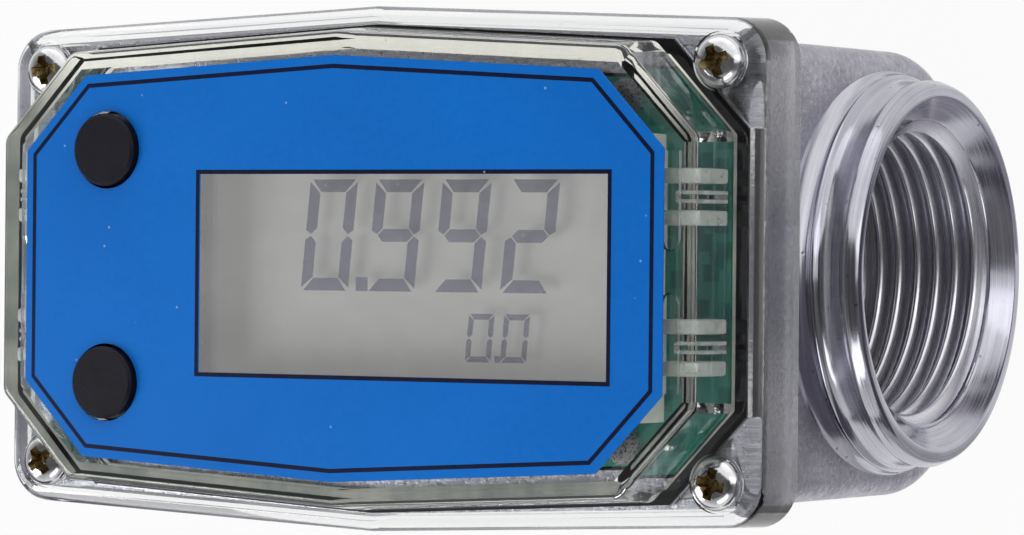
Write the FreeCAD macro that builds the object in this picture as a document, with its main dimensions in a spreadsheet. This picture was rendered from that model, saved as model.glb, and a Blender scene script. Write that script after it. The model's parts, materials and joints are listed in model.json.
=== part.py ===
import FreeCAD, Part
import math
import os
import re

import Sketcher

# A one inch turbine flow meter for fuel.  A die-cast aluminium body carries a threaded port at each
# end and a turbine cartridge in the bore between them.  A clear cover over the electronics pocket
# carries the printed face label and the two push buttons.
# Frame: +X along the flow, +Y up the display, +Z out of the display.  Z = 0 is the flat back.

os.makedirs("parts", exist_ok=True)
doc = FreeCAD.newDocument("flow_meter")
sheet = doc.addObject("Spreadsheet::Sheet", "Sizes")

SIZES = [
    # casting
    ("axis_height", 22.0),
    ("body_half_length", 45.5),
    ("body_half_width", 24.2),
    ("back_radius", 19.0),
    ("end_round", 2.4),
    ("bulge", 2.1),
    ("rim_depth", 5.0),
    ("floor_wall", 6.2),
    ("pocket_inset", 2.4),
    ("pocket_roof_inset", 0.2),
    # ports
    ("port_reach", 6.0),
    ("collar_radius", 21.0),
    ("collar_drop", 0.6),
    ("collar_lead", 1.3),
    ("bead_radius", 21.5),
    ("bead_length", 1.9),
    ("neck_radius", 20.5),
    ("neck_length", 0.9),
    ("rim_radius", 19.1),
    ("port_radius", 16.6),
    ("lead_in", 2.0),
    ("port_depth", 17.0),
    # bore
    ("bore_radius", 13.0),
    ("chamber_radius", 12.0),
    ("chamber_half", 15.0),
    ("ring_groove", 0.7),
    ("ring_width", 1.2),
    ("ring_slack", 0.1),
    ("sensor_radius", 4.2),
    ("sensor_gap", 0.3),
    ("sensor_height", 6.0),
    ("sensor_wall", 1.7),
    # ten-sided outline shared by label, cover box, gasket, pocket and board
    ("label_setback", 5.7),
    ("label_roof_setback", 1.6),
    ("chamfer_setback", 8.0),
    ("roof_slope", 0.0575),
    ("chamfer_angle", 43.5),
    # cover
    ("cover_gap", 0.3),
    ("skirt_wall", 1.8),
    ("skirt_depth", 7.8),
    ("skirt_draft", 2.0),
    ("skirt_corner", 4.6),
    ("cover_edge", 1.5),
    ("flange_thickness", 2.4),
    ("box_height", 7.2),
    ("box_draft", 5.0),
    ("box_margin", 4.1),
    ("box_roof_margin", 3.3),
    ("box_edge", 0.9),
    ("box_corner", 1.6),
    ("box_wall", 1.9),
    ("plate_thickness", 2.0),
    ("clip_up", 7.7),
    ("clip_width", 5.8),
    ("clip_arm", 1.5),
    ("clip_rib", 1.2),
    ("clip_depth", 3.2),
    ("clip_drop", 5.6),
    ("slot_start", 2.1),
    ("slot_end", 12.4),
    ("slot_width", 2.2),
    ("slot_inset", 0.9),
    ("slot_depth", 0.9),
    # gasket
    ("gasket_margin", 1.4),
    ("gasket_roof_margin", 0.45),
    ("gasket_width", 2.2),
    ("gasket_thickness", 1.0),
    ("gasket_play", 0.15),
    # cover screws
    ("screw_inset", 3.3),
    ("screw_roof_inset", 2.5),
    ("screw_head_radius", 2.8),
    ("screw_head_height", 2.0),
    ("screw_radius", 1.45),
    ("screw_length", 9.5),
    ("screw_play", 0.15),
    ("sink_radius", 3.1),
    ("sink_depth", 0.5),
    ("recess_half", 1.1),
    ("recess_depth", 1.3),
    # label
    ("label_thickness", 0.2),
    ("window_left_inset", 22.8),
    ("window_right_inset", 6.5),
    ("window_low_inset", 11.3),
    ("window_high_inset", 12.6),
    # buttons
    ("button_inset", 10.65),
    ("button_roof_inset", 9.95),
    ("button_radius", 3.93),
    ("button_rise", 0.9),
    ("button_gap", 0.3),
    ("button_lip", 0.8),
    ("button_lip_height", 0.8),
    ("button_stem", 1.6),
    ("button_travel", 0.5),
    ("switch_size", 6.0),
    ("switch_height", 3.5),
    ("plunger_radius", 1.5),
    ("plunger_rise", 1.4),
    ("plunger_depth", 0.8),
    # board and display
    ("board_drop", 0.3),
    ("board_thickness", 1.6),
    ("board_play", 0.4),
    ("post_inset", 8.3),
    ("post_roof_inset", 4.5),
    ("post_radius", 2.8),
    ("board_screw_radius", 1.0),
    ("board_screw_head", 1.9),
    ("board_screw_rise", 1.3),
    ("board_screw_length", 5.5),
    ("pilot_room", 0.5),
    ("display_gap", 0.5),
    ("display_thickness", 2.0),
    ("display_margin", 1.1),
    ("display_roof_margin", 2.9),
    ("reflector_thickness", 0.3),
    ("reflector_lap", 0.4),
    ("carrier_margin", 1.2),
    ("carrier_ledge", 1.2),
    ("carrier_lip", 1.2),
    ("carrier_play", 0.15),
    ("zebra_width", 1.8),
    ("zebra_half", 23.0),
    # board parts
    ("chip_size", 9.0),
    ("chip_height", 1.4),
    ("crystal_length", 6.2),
    ("crystal_width", 3.0),
    ("crystal_height", 1.2),
    ("capacitor_length", 3.5),
    ("capacitor_width", 2.8),
    ("capacitor_height", 1.9),
    ("capacitor_pitch", 5.5),
    # batteries
    ("cell_radius", 5.1),
    ("cell_length", 43.5),
    ("cell_nub", 0.9),
    ("cell_spread", 7.3),
    ("tray_floor", 1.0),
    ("tray_half_length", 27.0),
    ("tray_half_width", 14.0),
    ("tray_height", 6.0),
    ("tray_play", 0.2),
    ("cell_room", 0.4),
    ("contact_thickness", 0.4),
    ("contact_size", 8.0),
    ("lead_width", 0.64),
    ("lead_pitch", 2.54),
    # turbine cartridge
    ("cartridge_play", 0.1),
    ("support_length", 10.0),
    ("support_wall", 1.4),
    ("hub_radius", 4.0),
    ("hub_reach", 7.3),
    ("nose_length", 7.0),
    ("vane_thickness", 1.2),
    ("vane_count", 4),
    ("bushing_radius", 2.0),
    ("bushing_length", 5.0),
    ("bushing_proud", 0.7),
    ("bushing_play", 0.05),
    ("shaft_radius", 1.0),
    ("shaft_play", 0.04),
    ("shaft_end_play", 0.6),
    ("rotor_half", 6.1),
    ("rotor_hub", 3.8),
    ("blade_half", 5.0),
    ("blade_radius", 11.5),
    ("blade_thickness", 1.7),
    ("blade_lead", 64.0),
    ("blade_count", 6),
    ("magnet_radius", 1.2),
    ("magnet_length", 2.0),
    ("magnet_angle", 90.0),
    ("ring_opening", 50.0),
    ("ring_height", 2.0),
]

# Sizes that follow from the ones above: heights stack up from the pipe axis through the cells
# and the board to the seat, and everything on the face keeps its distance from the casting's edge.
TIED = [
    ("pocket_floor", "axis_height + bore_radius + floor_wall"),
    ("board_height", "pocket_floor + tray_floor + tray_play + 2 * cell_radius + cell_room"),
    ("seat_height", "board_height + board_drop"),
    ("screw_across", "body_half_length - screw_inset"),
    ("screw_up", "body_half_width - screw_roof_inset"),
    ("label_half_length", "body_half_length - label_setback"),
    ("label_apex", "body_half_width - label_roof_setback"),
    ("label_chamfer", "screw_across * cos(chamfer_angle) + screw_up * sin(chamfer_angle)"
                      " - chamfer_setback"),
    ("window_left", "window_left_inset - label_half_length"),
    ("window_right", "label_half_length - window_right_inset"),
    ("window_low", "window_low_inset - label_apex"),
    ("window_high", "label_apex - window_high_inset"),
    ("button_across", "button_inset - label_half_length"),
    ("button_up", "label_apex - button_roof_inset"),
    ("post_across", "label_half_length - post_inset"),
    ("post_up", "label_apex - post_roof_inset"),
]

ROW = 0
for alias, number in SIZES + [(alias, "=" + formula) for alias, formula in TIED]:
    ROW += 1
    sheet.set("A%d" % ROW, alias)
    sheet.set("B%d" % ROW, "%s" % number)
    sheet.setAlias("B%d" % ROW, alias)
doc.recompute()
NAMES = set(alias for alias, number in SIZES + TIED)
PIECES = []


def value(alias):
    """Number that the sheet holds under this name."""
    return float(sheet.get(alias))


def bind(item, target, formula):
    """Tie one property of an object to sizes in the sheet."""
    full = re.sub(r"[a-z][a-z_]+", lambda word: swap(word.group(0)), formula)
    item.setExpression(target, full)


def swap(word):
    if word in NAMES:
        return "Sizes." + word
    return word


def place(item, across="0", up="0", out="0"):
    """Place an object by formulas for X, Y and Z."""
    bind(item, "Placement.Base.x", across)
    bind(item, "Placement.Base.y", up)
    bind(item, "Placement.Base.z", out)


def keep(item, name):
    """Mark an object as one finished sub-part."""
    item.Label = name
    PIECES.append(item)
    return item


def new_body(name, across="0", up="0", out="0"):
    body = doc.addObject("PartDesign::Body", name + "_body")
    place(body, across, up, out)
    return body


def origin_plane(body, role):
    for feature in body.Origin.OriginFeatures:
        if feature.Role == role:
            return feature
    raise RuntimeError("no " + role)


def new_sketch(body, name, role, lift="0"):
    sketch = body.newObject("Sketcher::SketchObject", name)
    sketch.AttachmentSupport = [(origin_plane(body, role), "")]
    sketch.MapMode = "FlatFace"
    bind(sketch, "AttachmentOffset.Base.z", lift)
    return sketch


def pin_point(sketch, edge, end, across, up):
    """Fix one point of a sketch at formulas for its two distances."""
    for kind, formula in (("DistanceX", across), ("DistanceY", up)):
        index = sketch.addConstraint(Sketcher.Constraint(kind, -1, 1, edge, end, 1.0))
        bind(sketch, "Constraints[%d]" % index, formula)


def outline(sketch, points):
    """Closed outline of straight lines through points given as formulas."""
    first = sketch.GeometryCount
    count = len(points)
    guess = []
    for step in range(count):
        turn = 2 * math.pi * step / count
        guess.append(FreeCAD.Vector(9 * math.cos(turn), 9 * math.sin(turn), 0))
    for step in range(count):
        sketch.addGeometry(Part.LineSegment(guess[step], guess[(step + 1) % count]), False)
    for step in range(count):
        after = first + (step + 1) % count
        sketch.addConstraint(Sketcher.Constraint("Coincident", first + step, 2, after, 1))
    for step, (across, up) in enumerate(points):
        pin_point(sketch, first + step, 1, across, up)


def circle(sketch, across, up, radius):
    index = sketch.GeometryCount
    sketch.addGeometry(Part.Circle(FreeCAD.Vector(1, 1, 0), FreeCAD.Vector(0, 0, 1), 1.0), False)
    pin_point(sketch, index, 3, across, up)
    limit = sketch.addConstraint(Sketcher.Constraint("Radius", index, 1.0))
    bind(sketch, "Constraints[%d]" % limit, radius)


def rectangle(left, low, right, high):
    return [(left, low), (right, low), (right, high), (left, high)]


def four(across, up):
    """The same point in all four quarters."""
    pairs = []
    for first in ("", "-"):
        for second in ("", "-"):
            pairs.append((first + "(" + across + ")", second + "(" + up + ")"))
    return pairs


def decagon(margin, roof_margin):
    """Ten-sided outline at a margin outside the printed label's own outline."""
    side = "(label_half_length + %s)" % margin
    slant = "(label_chamfer + %s)" % margin
    apex = "(label_apex + %s)" % roof_margin
    low = "((%s - cos(chamfer_angle) * %s) / sin(chamfer_angle))" % (slant, side)
    run = "((%s - sin(chamfer_angle) * %s)" % (slant, apex)
    run += " / (cos(chamfer_angle) - sin(chamfer_angle) * roof_slope))"
    top = "(%s - roof_slope * %s)" % (apex, run)
    right = [(side, "-" + low), (side, low), (run, top), ("0", apex)]
    left = [("-" + run, top), ("-" + side, low), ("-" + side, "-" + low), ("-" + run, "-" + top)]
    return right + left + [("0", "-" + apex), (run, "-" + top)]


def gable(half_length, half_width, rise):
    """Rectangle whose two long sides rise to a shallow point in the middle."""
    apex = "((%s) + (%s))" % (half_width, rise)
    right = [(half_length, "-(%s)" % half_width), (half_length, half_width), ("0", apex)]
    left = [("-(%s)" % half_length, half_width), ("-(%s)" % half_length, "-(%s)" % half_width)]
    return right + left + [("0", "-" + apex)]


def pad(body, name, sketch, length, both=False, down=False, draft=None):
    feature = body.newObject("PartDesign::Pad", name)
    feature.Profile = sketch
    bind(feature, "Length", length)
    if both:
        feature.SideType = "Symmetric"
    feature.Reversed = down
    if draft:
        bind(feature, "TaperAngle", draft)
    doc.recompute()
    return feature


def must_cut(body, feature, before):
    """A cut that points away from the solid removes nothing, so its volume is compared."""
    doc.recompute()
    if not feature.Shape.Volume < before - 1e-6:
        raise RuntimeError(feature.Name + " removes nothing")
    return feature


def pocket(body, name, sketch, depth, upward=False, draft=None):
    before = body.Shape.Volume
    feature = body.newObject("PartDesign::Pocket", name)
    feature.Profile = sketch
    bind(feature, "Length", depth)
    feature.Reversed = upward
    if draft:
        bind(feature, "TaperAngle", draft)
    return must_cut(body, feature, before)


def revolve(body, name, sketch, axis):
    feature = body.newObject("PartDesign::Revolution", name)
    feature.Profile = sketch
    feature.ReferenceAxis = (sketch, [axis])
    feature.Angle = 360.0
    doc.recompute()
    return feature


def groove(body, name, sketch, axis):
    before = body.Shape.Volume
    feature = body.newObject("PartDesign::Groove", name)
    feature.Profile = sketch
    feature.ReferenceAxis = (sketch, [axis])
    feature.Angle = 360.0
    return must_cut(body, feature, before)


def mirror_features(body, name, features, role):
    feature = body.newObject("PartDesign::Mirrored", name)
    feature.Originals = features
    feature.MirrorPlane = (origin_plane(body, role), [""])
    body.Tip = feature
    doc.recompute()
    return feature


def around(body, name, features, count):
    """Repeat features evenly about the flow axis."""
    feature = body.newObject("PartDesign::PolarPattern", name)
    feature.Originals = features
    feature.Axis = (origin_plane(body, "X_Axis"), [""])
    feature.Angle = 360.0
    bind(feature, "Occurrences", count)
    body.Tip = feature
    doc.recompute()
    return feature


def round_edges(body, name, radius, wanted):
    """Fillet every edge of the tip that the test picks."""
    doc.recompute()
    base = body.Tip
    picked = []
    for index, edge in enumerate(base.Shape.Edges):
        if wanted(edge):
            picked.append("Edge%d" % (index + 1))
    feature = body.newObject("PartDesign::Fillet", name)
    feature.Base = (base, picked)
    bind(feature, "Radius", radius)
    doc.recompute()
    return feature


def lean(body, name, angle, wanted, neutral, hollow=False):
    """Draft the walls that the test picks; a hollow's walls lean the other way than a boss's."""
    doc.recompute()
    base = body.Tip
    picked = []
    for index, face in enumerate(base.Shape.Faces):
        if wanted(face):
            picked.append("Face%d" % (index + 1))
    level = body.newObject("PartDesign::Plane", name + "_level")
    level.AttachmentSupport = [(origin_plane(body, "XY_Plane"), "")]
    level.MapMode = "FlatFace"
    bind(level, "AttachmentOffset.Base.z", neutral)
    doc.recompute()
    feature = body.newObject("PartDesign::Draft", name)
    feature.Base = (base, picked)
    feature.NeutralPlane = (level, [""])
    feature.Reversed = hollow
    bind(feature, "Angle", angle)
    doc.recompute()
    return feature


def turned(name, points, axis, across="0", up="0", out="0", role="XZ_Plane"):
    """A turned piece: its half profile, revolved about its own axis."""
    body = new_body(name, across, up, out)
    sketch = new_sketch(body, name + "_profile", role)
    outline(sketch, points)
    revolve(body, name + "_turn", sketch, axis)
    return body


def box(name, long, wide, tall, across, up, out):
    """A block given by its three lengths and the middle of its lower face."""
    block = doc.addObject("Part::Box", name)
    bind(block, "Length", long)
    bind(block, "Width", wide)
    bind(block, "Height", tall)
    place(block, "%s - (%s) / 2" % (across, long), "%s - (%s) / 2" % (up, wide), out)
    return block


def rod(name, radius, height, across, up, out, along=None):
    """A round rod that starts at the given point; along turns it to lie on X or Y."""
    item = doc.addObject("Part::Cylinder", name)
    bind(item, "Radius", radius)
    bind(item, "Height", height)
    if along == "X":
        item.Placement = FreeCAD.Placement(FreeCAD.Vector(), FreeCAD.Rotation(0, 90, 0))
    place(item, across, up, out)
    return item


def take_away(name, base, *tools):
    for index, tool in enumerate(tools):
        cut = doc.addObject("Part::Cut", "%s_cut%d" % (name, index))
        cut.Base = base
        cut.Tool = tool
        base = cut
    return base


def mirrored(name, source, normal):
    twin = doc.addObject("Part::Mirroring", name)
    twin.Source = source
    twin.Normal = normal
    twin.Base = FreeCAD.Vector(0, 0, 0)
    return twin


def group(name, items):
    bundle = doc.addObject("Part::Compound", name + "_group")
    bundle.Links = items
    return keep(bundle, name)


ACROSS = FreeCAD.Vector(1, 0, 0)
UP = FreeCAD.Vector(0, 1, 0)

# ------------------------------------------------------------------------------------ casting
# The casting's own origin is on the pipe axis, so ports and bore turn about the sketch axis.
SEAT = "(seat_height - axis_height)"
PORT_END = "(body_half_length + port_reach)"
meter = new_body("meter_body", out="axis_height")
section = new_sketch(meter, "casting_section", "YZ_Plane")
outline(section, rectangle("-body_half_width", "-axis_height", "body_half_width", SEAT))
pad(meter, "casting_block", section, "2 * body_half_length", both=True)


def back_corner(edge):
    middle = edge.BoundBox.Center
    return middle.z < -value("axis_height") + 0.01 and abs(middle.x) < 0.01


round_edges(meter, "back_corners", "back_radius", back_corner)


def end_outline(edge):
    middle = edge.BoundBox
    at_end = min(abs(middle.XMin), abs(middle.XMax)) > value("body_half_length") - 0.01
    return at_end and middle.ZMin < value("seat_height") - value("axis_height") - 0.01


round_edges(meter, "end_edges", "end_round", end_outline)

rim = new_sketch(meter, "rim_outline", "XY_Plane", SEAT)
outline(rim, gable("body_half_length", "body_half_width", "bulge"))
pad(meter, "rim", rim, "rim_depth", down=True)

# One port: a rounded bead at the root, a narrow neck and the machined collar.
BEAD = "(body_half_length + bead_length)"
NECK = "(body_half_length + bead_length + neck_length)"
collar = new_sketch(meter, "collar_profile", "XZ_Plane")
outline(collar, [
    ("body_half_length - 4", "chamber_radius"),
    (PORT_END, "chamber_radius"),
    (PORT_END, "collar_radius - collar_drop"),
    (PORT_END + " - collar_lead", "collar_radius"),
    (NECK, "collar_radius"),
    (NECK + " - 0.2", "neck_radius"),
    (BEAD, "neck_radius"),
    (BEAD + " - 0.2", "bead_radius - 0.3"),
    (BEAD + " - 0.8", "bead_radius"),
    ("body_half_length + 0.1", "bead_radius + 0.3"),
    ("body_half_length - 4", "bead_radius + 0.3"),
])
collar_turn = revolve(meter, "collar", collar, "H_Axis")

# The bore from the middle of the chamber out to one mouth, with its retaining ring's groove.
SHELF = "(chamber_half + support_length + ring_slack)"
bore = new_sketch(meter, "bore_profile", "XZ_Plane")
outline(bore, [
    ("0", "0"),
    (PORT_END + " + 1", "0"),
    (PORT_END + " + 1", "rim_radius"),
    (PORT_END, "rim_radius"),
    (PORT_END + " - lead_in", "port_radius"),
    (PORT_END + " - port_depth", "port_radius"),
    (PORT_END + " - port_depth - 1.5", "bore_radius"),
    (SHELF + " + ring_width + ring_slack", "bore_radius"),
    (SHELF + " + ring_width + ring_slack", "bore_radius + ring_groove"),
    (SHELF, "bore_radius + ring_groove"),
    (SHELF, "bore_radius"),
    ("chamber_half", "bore_radius"),
    ("chamber_half", "chamber_radius"),
    ("0", "chamber_radius"),
])
bore_cut = groove(meter, "bore", bore, "H_Axis")
mirror_features(meter, "other_port", [collar_turn, bore_cut], "YZ_Plane")

# Electronics pocket, its four board posts, the sensor well and the cover screw holes.
well = new_sketch(meter, "pocket_outline", "XY_Plane", SEAT)
outline(well, decagon("pocket_inset", "-pocket_roof_inset"))
pocket(meter, "electronics_pocket", well, "seat_height - pocket_floor")
posts = new_sketch(meter, "post_circles", "XY_Plane", "board_height - axis_height")
for across, up in four("post_across", "post_up"):
    circle(posts, across, up, "post_radius")
pad(meter, "board_posts", posts, "board_height - pocket_floor + 0.2", down=True)
pilots = new_sketch(meter, "pilot_circles", "XY_Plane", "board_height - axis_height")
for across, up in four("post_across", "post_up"):
    circle(pilots, across, up, "board_screw_radius + bushing_play")
pocket(meter, "post_pilots", pilots, "board_screw_length + pilot_room")
socket = new_sketch(meter, "sensor_circle", "XY_Plane", "pocket_floor - axis_height")
circle(socket, "0", "0", "sensor_radius + sensor_gap")
pocket(meter, "sensor_well", socket, "pocket_floor - axis_height - chamber_radius - sensor_wall")
holes = new_sketch(meter, "screw_circles", "XY_Plane", SEAT)
for across, up in four("screw_across", "screw_up"):
    circle(holes, across, up, "screw_radius + cartridge_play")
pocket(meter, "screw_holes", holes, "screw_length")
keep(meter, "meter_body")

# -------------------------------------------------------------------------------------- cover
UNDERSIDE = "(seat_height + cover_gap)"
FLANGE_TOP = "(seat_height + cover_gap + flange_thickness)"
SKIRT_END = "(seat_height + cover_gap + flange_thickness - skirt_depth)"
FACE = "(seat_height + cover_gap + flange_thickness + box_height)"
HALF_LONG = "(body_half_length + cover_gap)"
HALF_WIDE = "(body_half_width + cover_gap)"
cover = new_body("clear_cover")
flange = new_sketch(cover, "flange_outline", "XY_Plane", SKIRT_END)
outline(flange, gable(HALF_LONG + " + skirt_wall", HALF_WIDE + " + skirt_wall", "bulge"))
pad(cover, "flange_block", flange, "skirt_depth")
foot = new_sketch(cover, "box_foot", "XY_Plane", FLANGE_TOP)
outline(foot, decagon("box_margin", "box_roof_margin"))
pad(cover, "box", foot, "box_height")
SKIRT_TOP = value("seat_height") + value("cover_gap") + value("flange_thickness")
BOX_TOP = SKIRT_TOP + value("box_height")


def box_wall_face(face):
    size = face.BoundBox
    return size.ZMin > SKIRT_TOP - 0.01 and size.ZLength > value("box_height") * 0.9


def skirt_wall_face(face):
    size = face.BoundBox
    return size.ZMax < SKIRT_TOP + 0.01 and size.ZLength > value("skirt_depth") * 0.9


# Moulded walls lean in towards the face so that the cover leaves its mould.
lean(cover, "box_lean", "box_draft", box_wall_face, FLANGE_TOP)
lean(cover, "skirt_lean", "skirt_draft", skirt_wall_face, SKIRT_END)


def skirt_corner(edge):
    size = edge.BoundBox
    tall = size.ZLength > value("skirt_depth") * 0.9 and size.ZMax < SKIRT_TOP + 0.01
    return tall and abs(size.Center.x) > value("body_half_length") * 0.9


round_edges(cover, "flange_corners", "skirt_corner", skirt_corner)


def box_corner(edge):
    size = edge.BoundBox
    tall = size.ZLength > value("box_height") * 0.9 and size.ZMin > SKIRT_TOP - 0.01
    return tall and abs(size.Center.x) > 1


round_edges(cover, "box_corners", "box_corner", box_corner)


def flange_edge(edge):
    size = edge.BoundBox
    level = size.ZMin > SKIRT_TOP - 0.01 and size.ZMax < SKIRT_TOP + 0.01
    reach = max(abs(size.XMin), abs(size.XMax)) > value("body_half_length") + value("cover_gap")
    return level and (reach or abs(size.Center.y) > value("body_half_width") + 1)


round_edges(cover, "flange_edges", "cover_edge", flange_edge)


def face_edge(edge):
    return edge.BoundBox.ZMin > BOX_TOP - 0.01 and edge.BoundBox.ZLength < 0.01


round_edges(cover, "face_edges", "box_edge", face_edge)

skirt_room = new_sketch(cover, "skirt_room_outline", "XY_Plane", SKIRT_END)
outline(skirt_room, gable(HALF_LONG, HALF_WIDE, "bulge"))
pocket(cover, "skirt_room", skirt_room, UNDERSIDE + " - " + SKIRT_END, upward=True)
recess = new_sketch(cover, "gasket_recess_outline", "XY_Plane", UNDERSIDE)
outline(recess, decagon("box_margin + gasket_margin", "box_roof_margin + gasket_roof_margin"))
pocket(cover, "gasket_recess", recess, "gasket_thickness - cover_gap", upward=True)
RECESS_TOP = "(seat_height + gasket_thickness)"
PLATE_LOW = "(" + FACE + " - plate_thickness)"
room = new_sketch(cover, "box_room_outline", "XY_Plane", RECESS_TOP)
outline(room, decagon("box_margin - box_wall", "box_roof_margin - box_wall"))
pocket(cover, "box_room", room, PLATE_LOW + " - " + RECESS_TOP, upward=True)


def room_face(face):
    size = face.BoundBox
    low = value("seat_height") + value("gasket_thickness")
    return abs(size.ZMin - low) < 0.01 and abs(size.ZMax - BOX_TOP + value("plate_thickness")) < 0.01


lean(cover, "room_lean", "box_draft", room_face, RECESS_TOP, hollow=True)

# Two clips on each short wall: a pair of arms with a rib between them, and the long cored
# slot with a round inner end that lies above each clip in the plate.
INSIDE = "(label_half_length + box_margin - box_wall)"
clips = new_sketch(cover, "clip_outlines", "XY_Plane", PLATE_LOW)
for across in ("", "-"):
    for up in ("", "-"):
        for shift, wide in (("-(clip_width - clip_arm) / 2", "clip_arm"),
                            ("(clip_width - clip_arm) / 2", "clip_arm"), ("0", "clip_rib")):
            reach = "clip_depth" if wide == "clip_arm" else "clip_depth * 0.55"
            near = across + "(" + INSIDE + " - " + reach + ")"
            far = across + "(" + INSIDE + " + 0.3)"
            low = "(%s(clip_up) + %s - %s / 2)" % (up, shift, wide)
            high = "(%s(clip_up) + %s + %s / 2)" % (up, shift, wide)
            outline(clips, rectangle(near, low, far, high))
pad(cover, "clips", clips, "clip_drop", down=True)
slot_sketch = new_sketch(cover, "slot_outlines", "XY_Plane", PLATE_LOW)
for across in ("", "-"):
    for up in ("", "-"):
        near = across + "(" + INSIDE + " - slot_inset - slot_width)"
        middle = across + "(" + INSIDE + " - slot_inset - slot_width / 2)"
        far = across + "(" + INSIDE + " - slot_inset)"
        start = up + "(slot_start + slot_width / 2)"
        early = up + "(slot_start + slot_width * 0.15)"
        side_one = across + "(" + INSIDE + " - slot_inset - slot_width * 0.85)"
        side_two = across + "(" + INSIDE + " - slot_inset - slot_width * 0.15)"
        finish = up + "(slot_end)"
        outline(slot_sketch, [(near, start), (side_one, early), (middle, up + "(slot_start)"),
                              (side_two, early), (far, start), (far, finish), (near, finish)])
pocket(cover, "clip_slots", slot_sketch, "slot_depth", upward=True)
screw_ways = new_sketch(cover, "cover_screw_circles", "XY_Plane", FLANGE_TOP)
for across, up in four("screw_across", "screw_up"):
    circle(screw_ways, across, up, "screw_radius + screw_play")
pocket(cover, "cover_screw_holes", screw_ways, "flange_thickness + 1")
sinks = new_sketch(cover, "sink_circles", "XY_Plane", FLANGE_TOP)
for across, up in four("screw_across", "screw_up"):
    circle(sinks, across, up, "sink_radius")
pocket(cover, "screw_sinks", sinks, "sink_depth")
button_ways = new_sketch(cover, "button_circles", "XY_Plane", FACE)
circle(button_ways, "button_across", "button_up", "button_radius + button_gap")
circle(button_ways, "button_across", "-button_up", "button_radius + button_gap")
pocket(cover, "button_holes", button_ways, "plate_thickness + 0.5")
keep(cover, "clear_cover")

# ------------------------------------------------------------------------------------- gasket
gasket = new_body("cover_gasket", out="seat_height")
ring = new_sketch(gasket, "gasket_outline", "XY_Plane")
OUTER = "box_margin + gasket_margin - gasket_play"
OUTER_ROOF = "box_roof_margin + gasket_roof_margin - gasket_play"
outline(ring, decagon(OUTER, OUTER_ROOF))
outline(ring, decagon(OUTER + " - gasket_width", OUTER_ROOF + " - gasket_width"))
pad(gasket, "gasket_ring", ring, "gasket_thickness")
keep(gasket, "cover_gasket")

# ------------------------------------------------------------------------------- cover screws
# Pan head screw: shank, then a head whose crown slopes in, with a square drive hole.
screw = turned("cover_screw", [
    ("0", "-screw_length"),
    ("screw_radius", "-screw_length"),
    ("screw_radius", "0"),
    ("screw_head_radius", "0"),
    ("screw_head_radius", "screw_head_height * 0.5"),
    ("screw_head_radius * 0.7", "screw_head_height"),
    ("0", "screw_head_height"),
], "V_Axis", "screw_across", "screw_up", FLANGE_TOP + " - sink_depth")
drive = new_sketch(screw, "drive_outline", "XY_Plane", "screw_head_height")
outline(drive, rectangle("-recess_half", "-recess_half", "recess_half", "recess_half"))
pocket(screw, "drive_hole", drive, "recess_depth")
right = mirrored("screw_lower_right", screw, UP)
left = mirrored("screw_upper_left", screw, ACROSS)
last = mirrored("screw_lower_left", right, ACROSS)
group("cover_screws", [screw, right, left, last])

# -------------------------------------------------------------------------------------- label
label = new_body("face_label", out=FACE)
print_area = new_sketch(label, "label_outline", "XY_Plane")
outline(print_area, decagon("0", "0"))
outline(print_area, rectangle("window_left", "window_low", "window_right", "window_high"))
circle(print_area, "button_across", "button_up", "button_radius + button_gap")
circle(print_area, "button_across", "-button_up", "button_radius + button_gap")
pad(label, "label_sheet", print_area, "label_thickness")
keep(label, "face_label")

# ------------------------------------------------------------------------------------ buttons
# A button's own origin is at the label's surface; its lip stops under the cover's plate.
LIP_TOP = "(-label_thickness - plate_thickness - button_gap)"
LIP_LOW = "(" + LIP_TOP + " - button_lip_height)"
BOARD_TOP = "(board_height + board_thickness)"
STEM_END = "(" + BOARD_TOP + " + switch_height + plunger_rise - " + FACE + " - label_thickness)"
BUTTON = [
    ("0", STEM_END),
    ("button_stem", STEM_END),
    ("button_stem", LIP_LOW),
    ("button_radius + button_lip", LIP_LOW),
    ("button_radius + button_lip", LIP_TOP),
    ("button_radius", LIP_TOP),
    ("button_radius", "button_rise - 0.3"),
    ("button_radius - 0.3", "button_rise"),
    ("0", "button_rise"),
]
FACE_TOP = FACE + " + label_thickness"
upper = turned("upper_button", BUTTON, "V_Axis", "button_across", "button_up", FACE_TOP)
keep(upper, "upper_button")
lower = turned("lower_button", BUTTON, "V_Axis", "button_across", "-button_up", FACE_TOP)
keep(lower, "lower_button")

# Push switches on the board and the plungers that the buttons' stems press.
case = box("switch_case", "switch_size", "switch_size", "switch_height",
           "button_across", "button_up", BOARD_TOP)
way = rod("switch_way", "plunger_radius + button_gap", "plunger_depth + button_travel + 0.5",
          "button_across", "button_up",
          BOARD_TOP + " + switch_height - plunger_depth - button_travel - 0.3")
switch = take_away("switch", case, way)
group("push_switches", [switch, mirrored("lower_switch", switch, UP)])
plunger = rod("plunger", "plunger_radius", "plunger_rise + plunger_depth",
              "button_across", "button_up", BOARD_TOP + " + switch_height - plunger_depth")
keep(plunger, "upper_plunger")
keep(mirrored("plunger_twin", plunger, UP), "lower_plunger")

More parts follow.
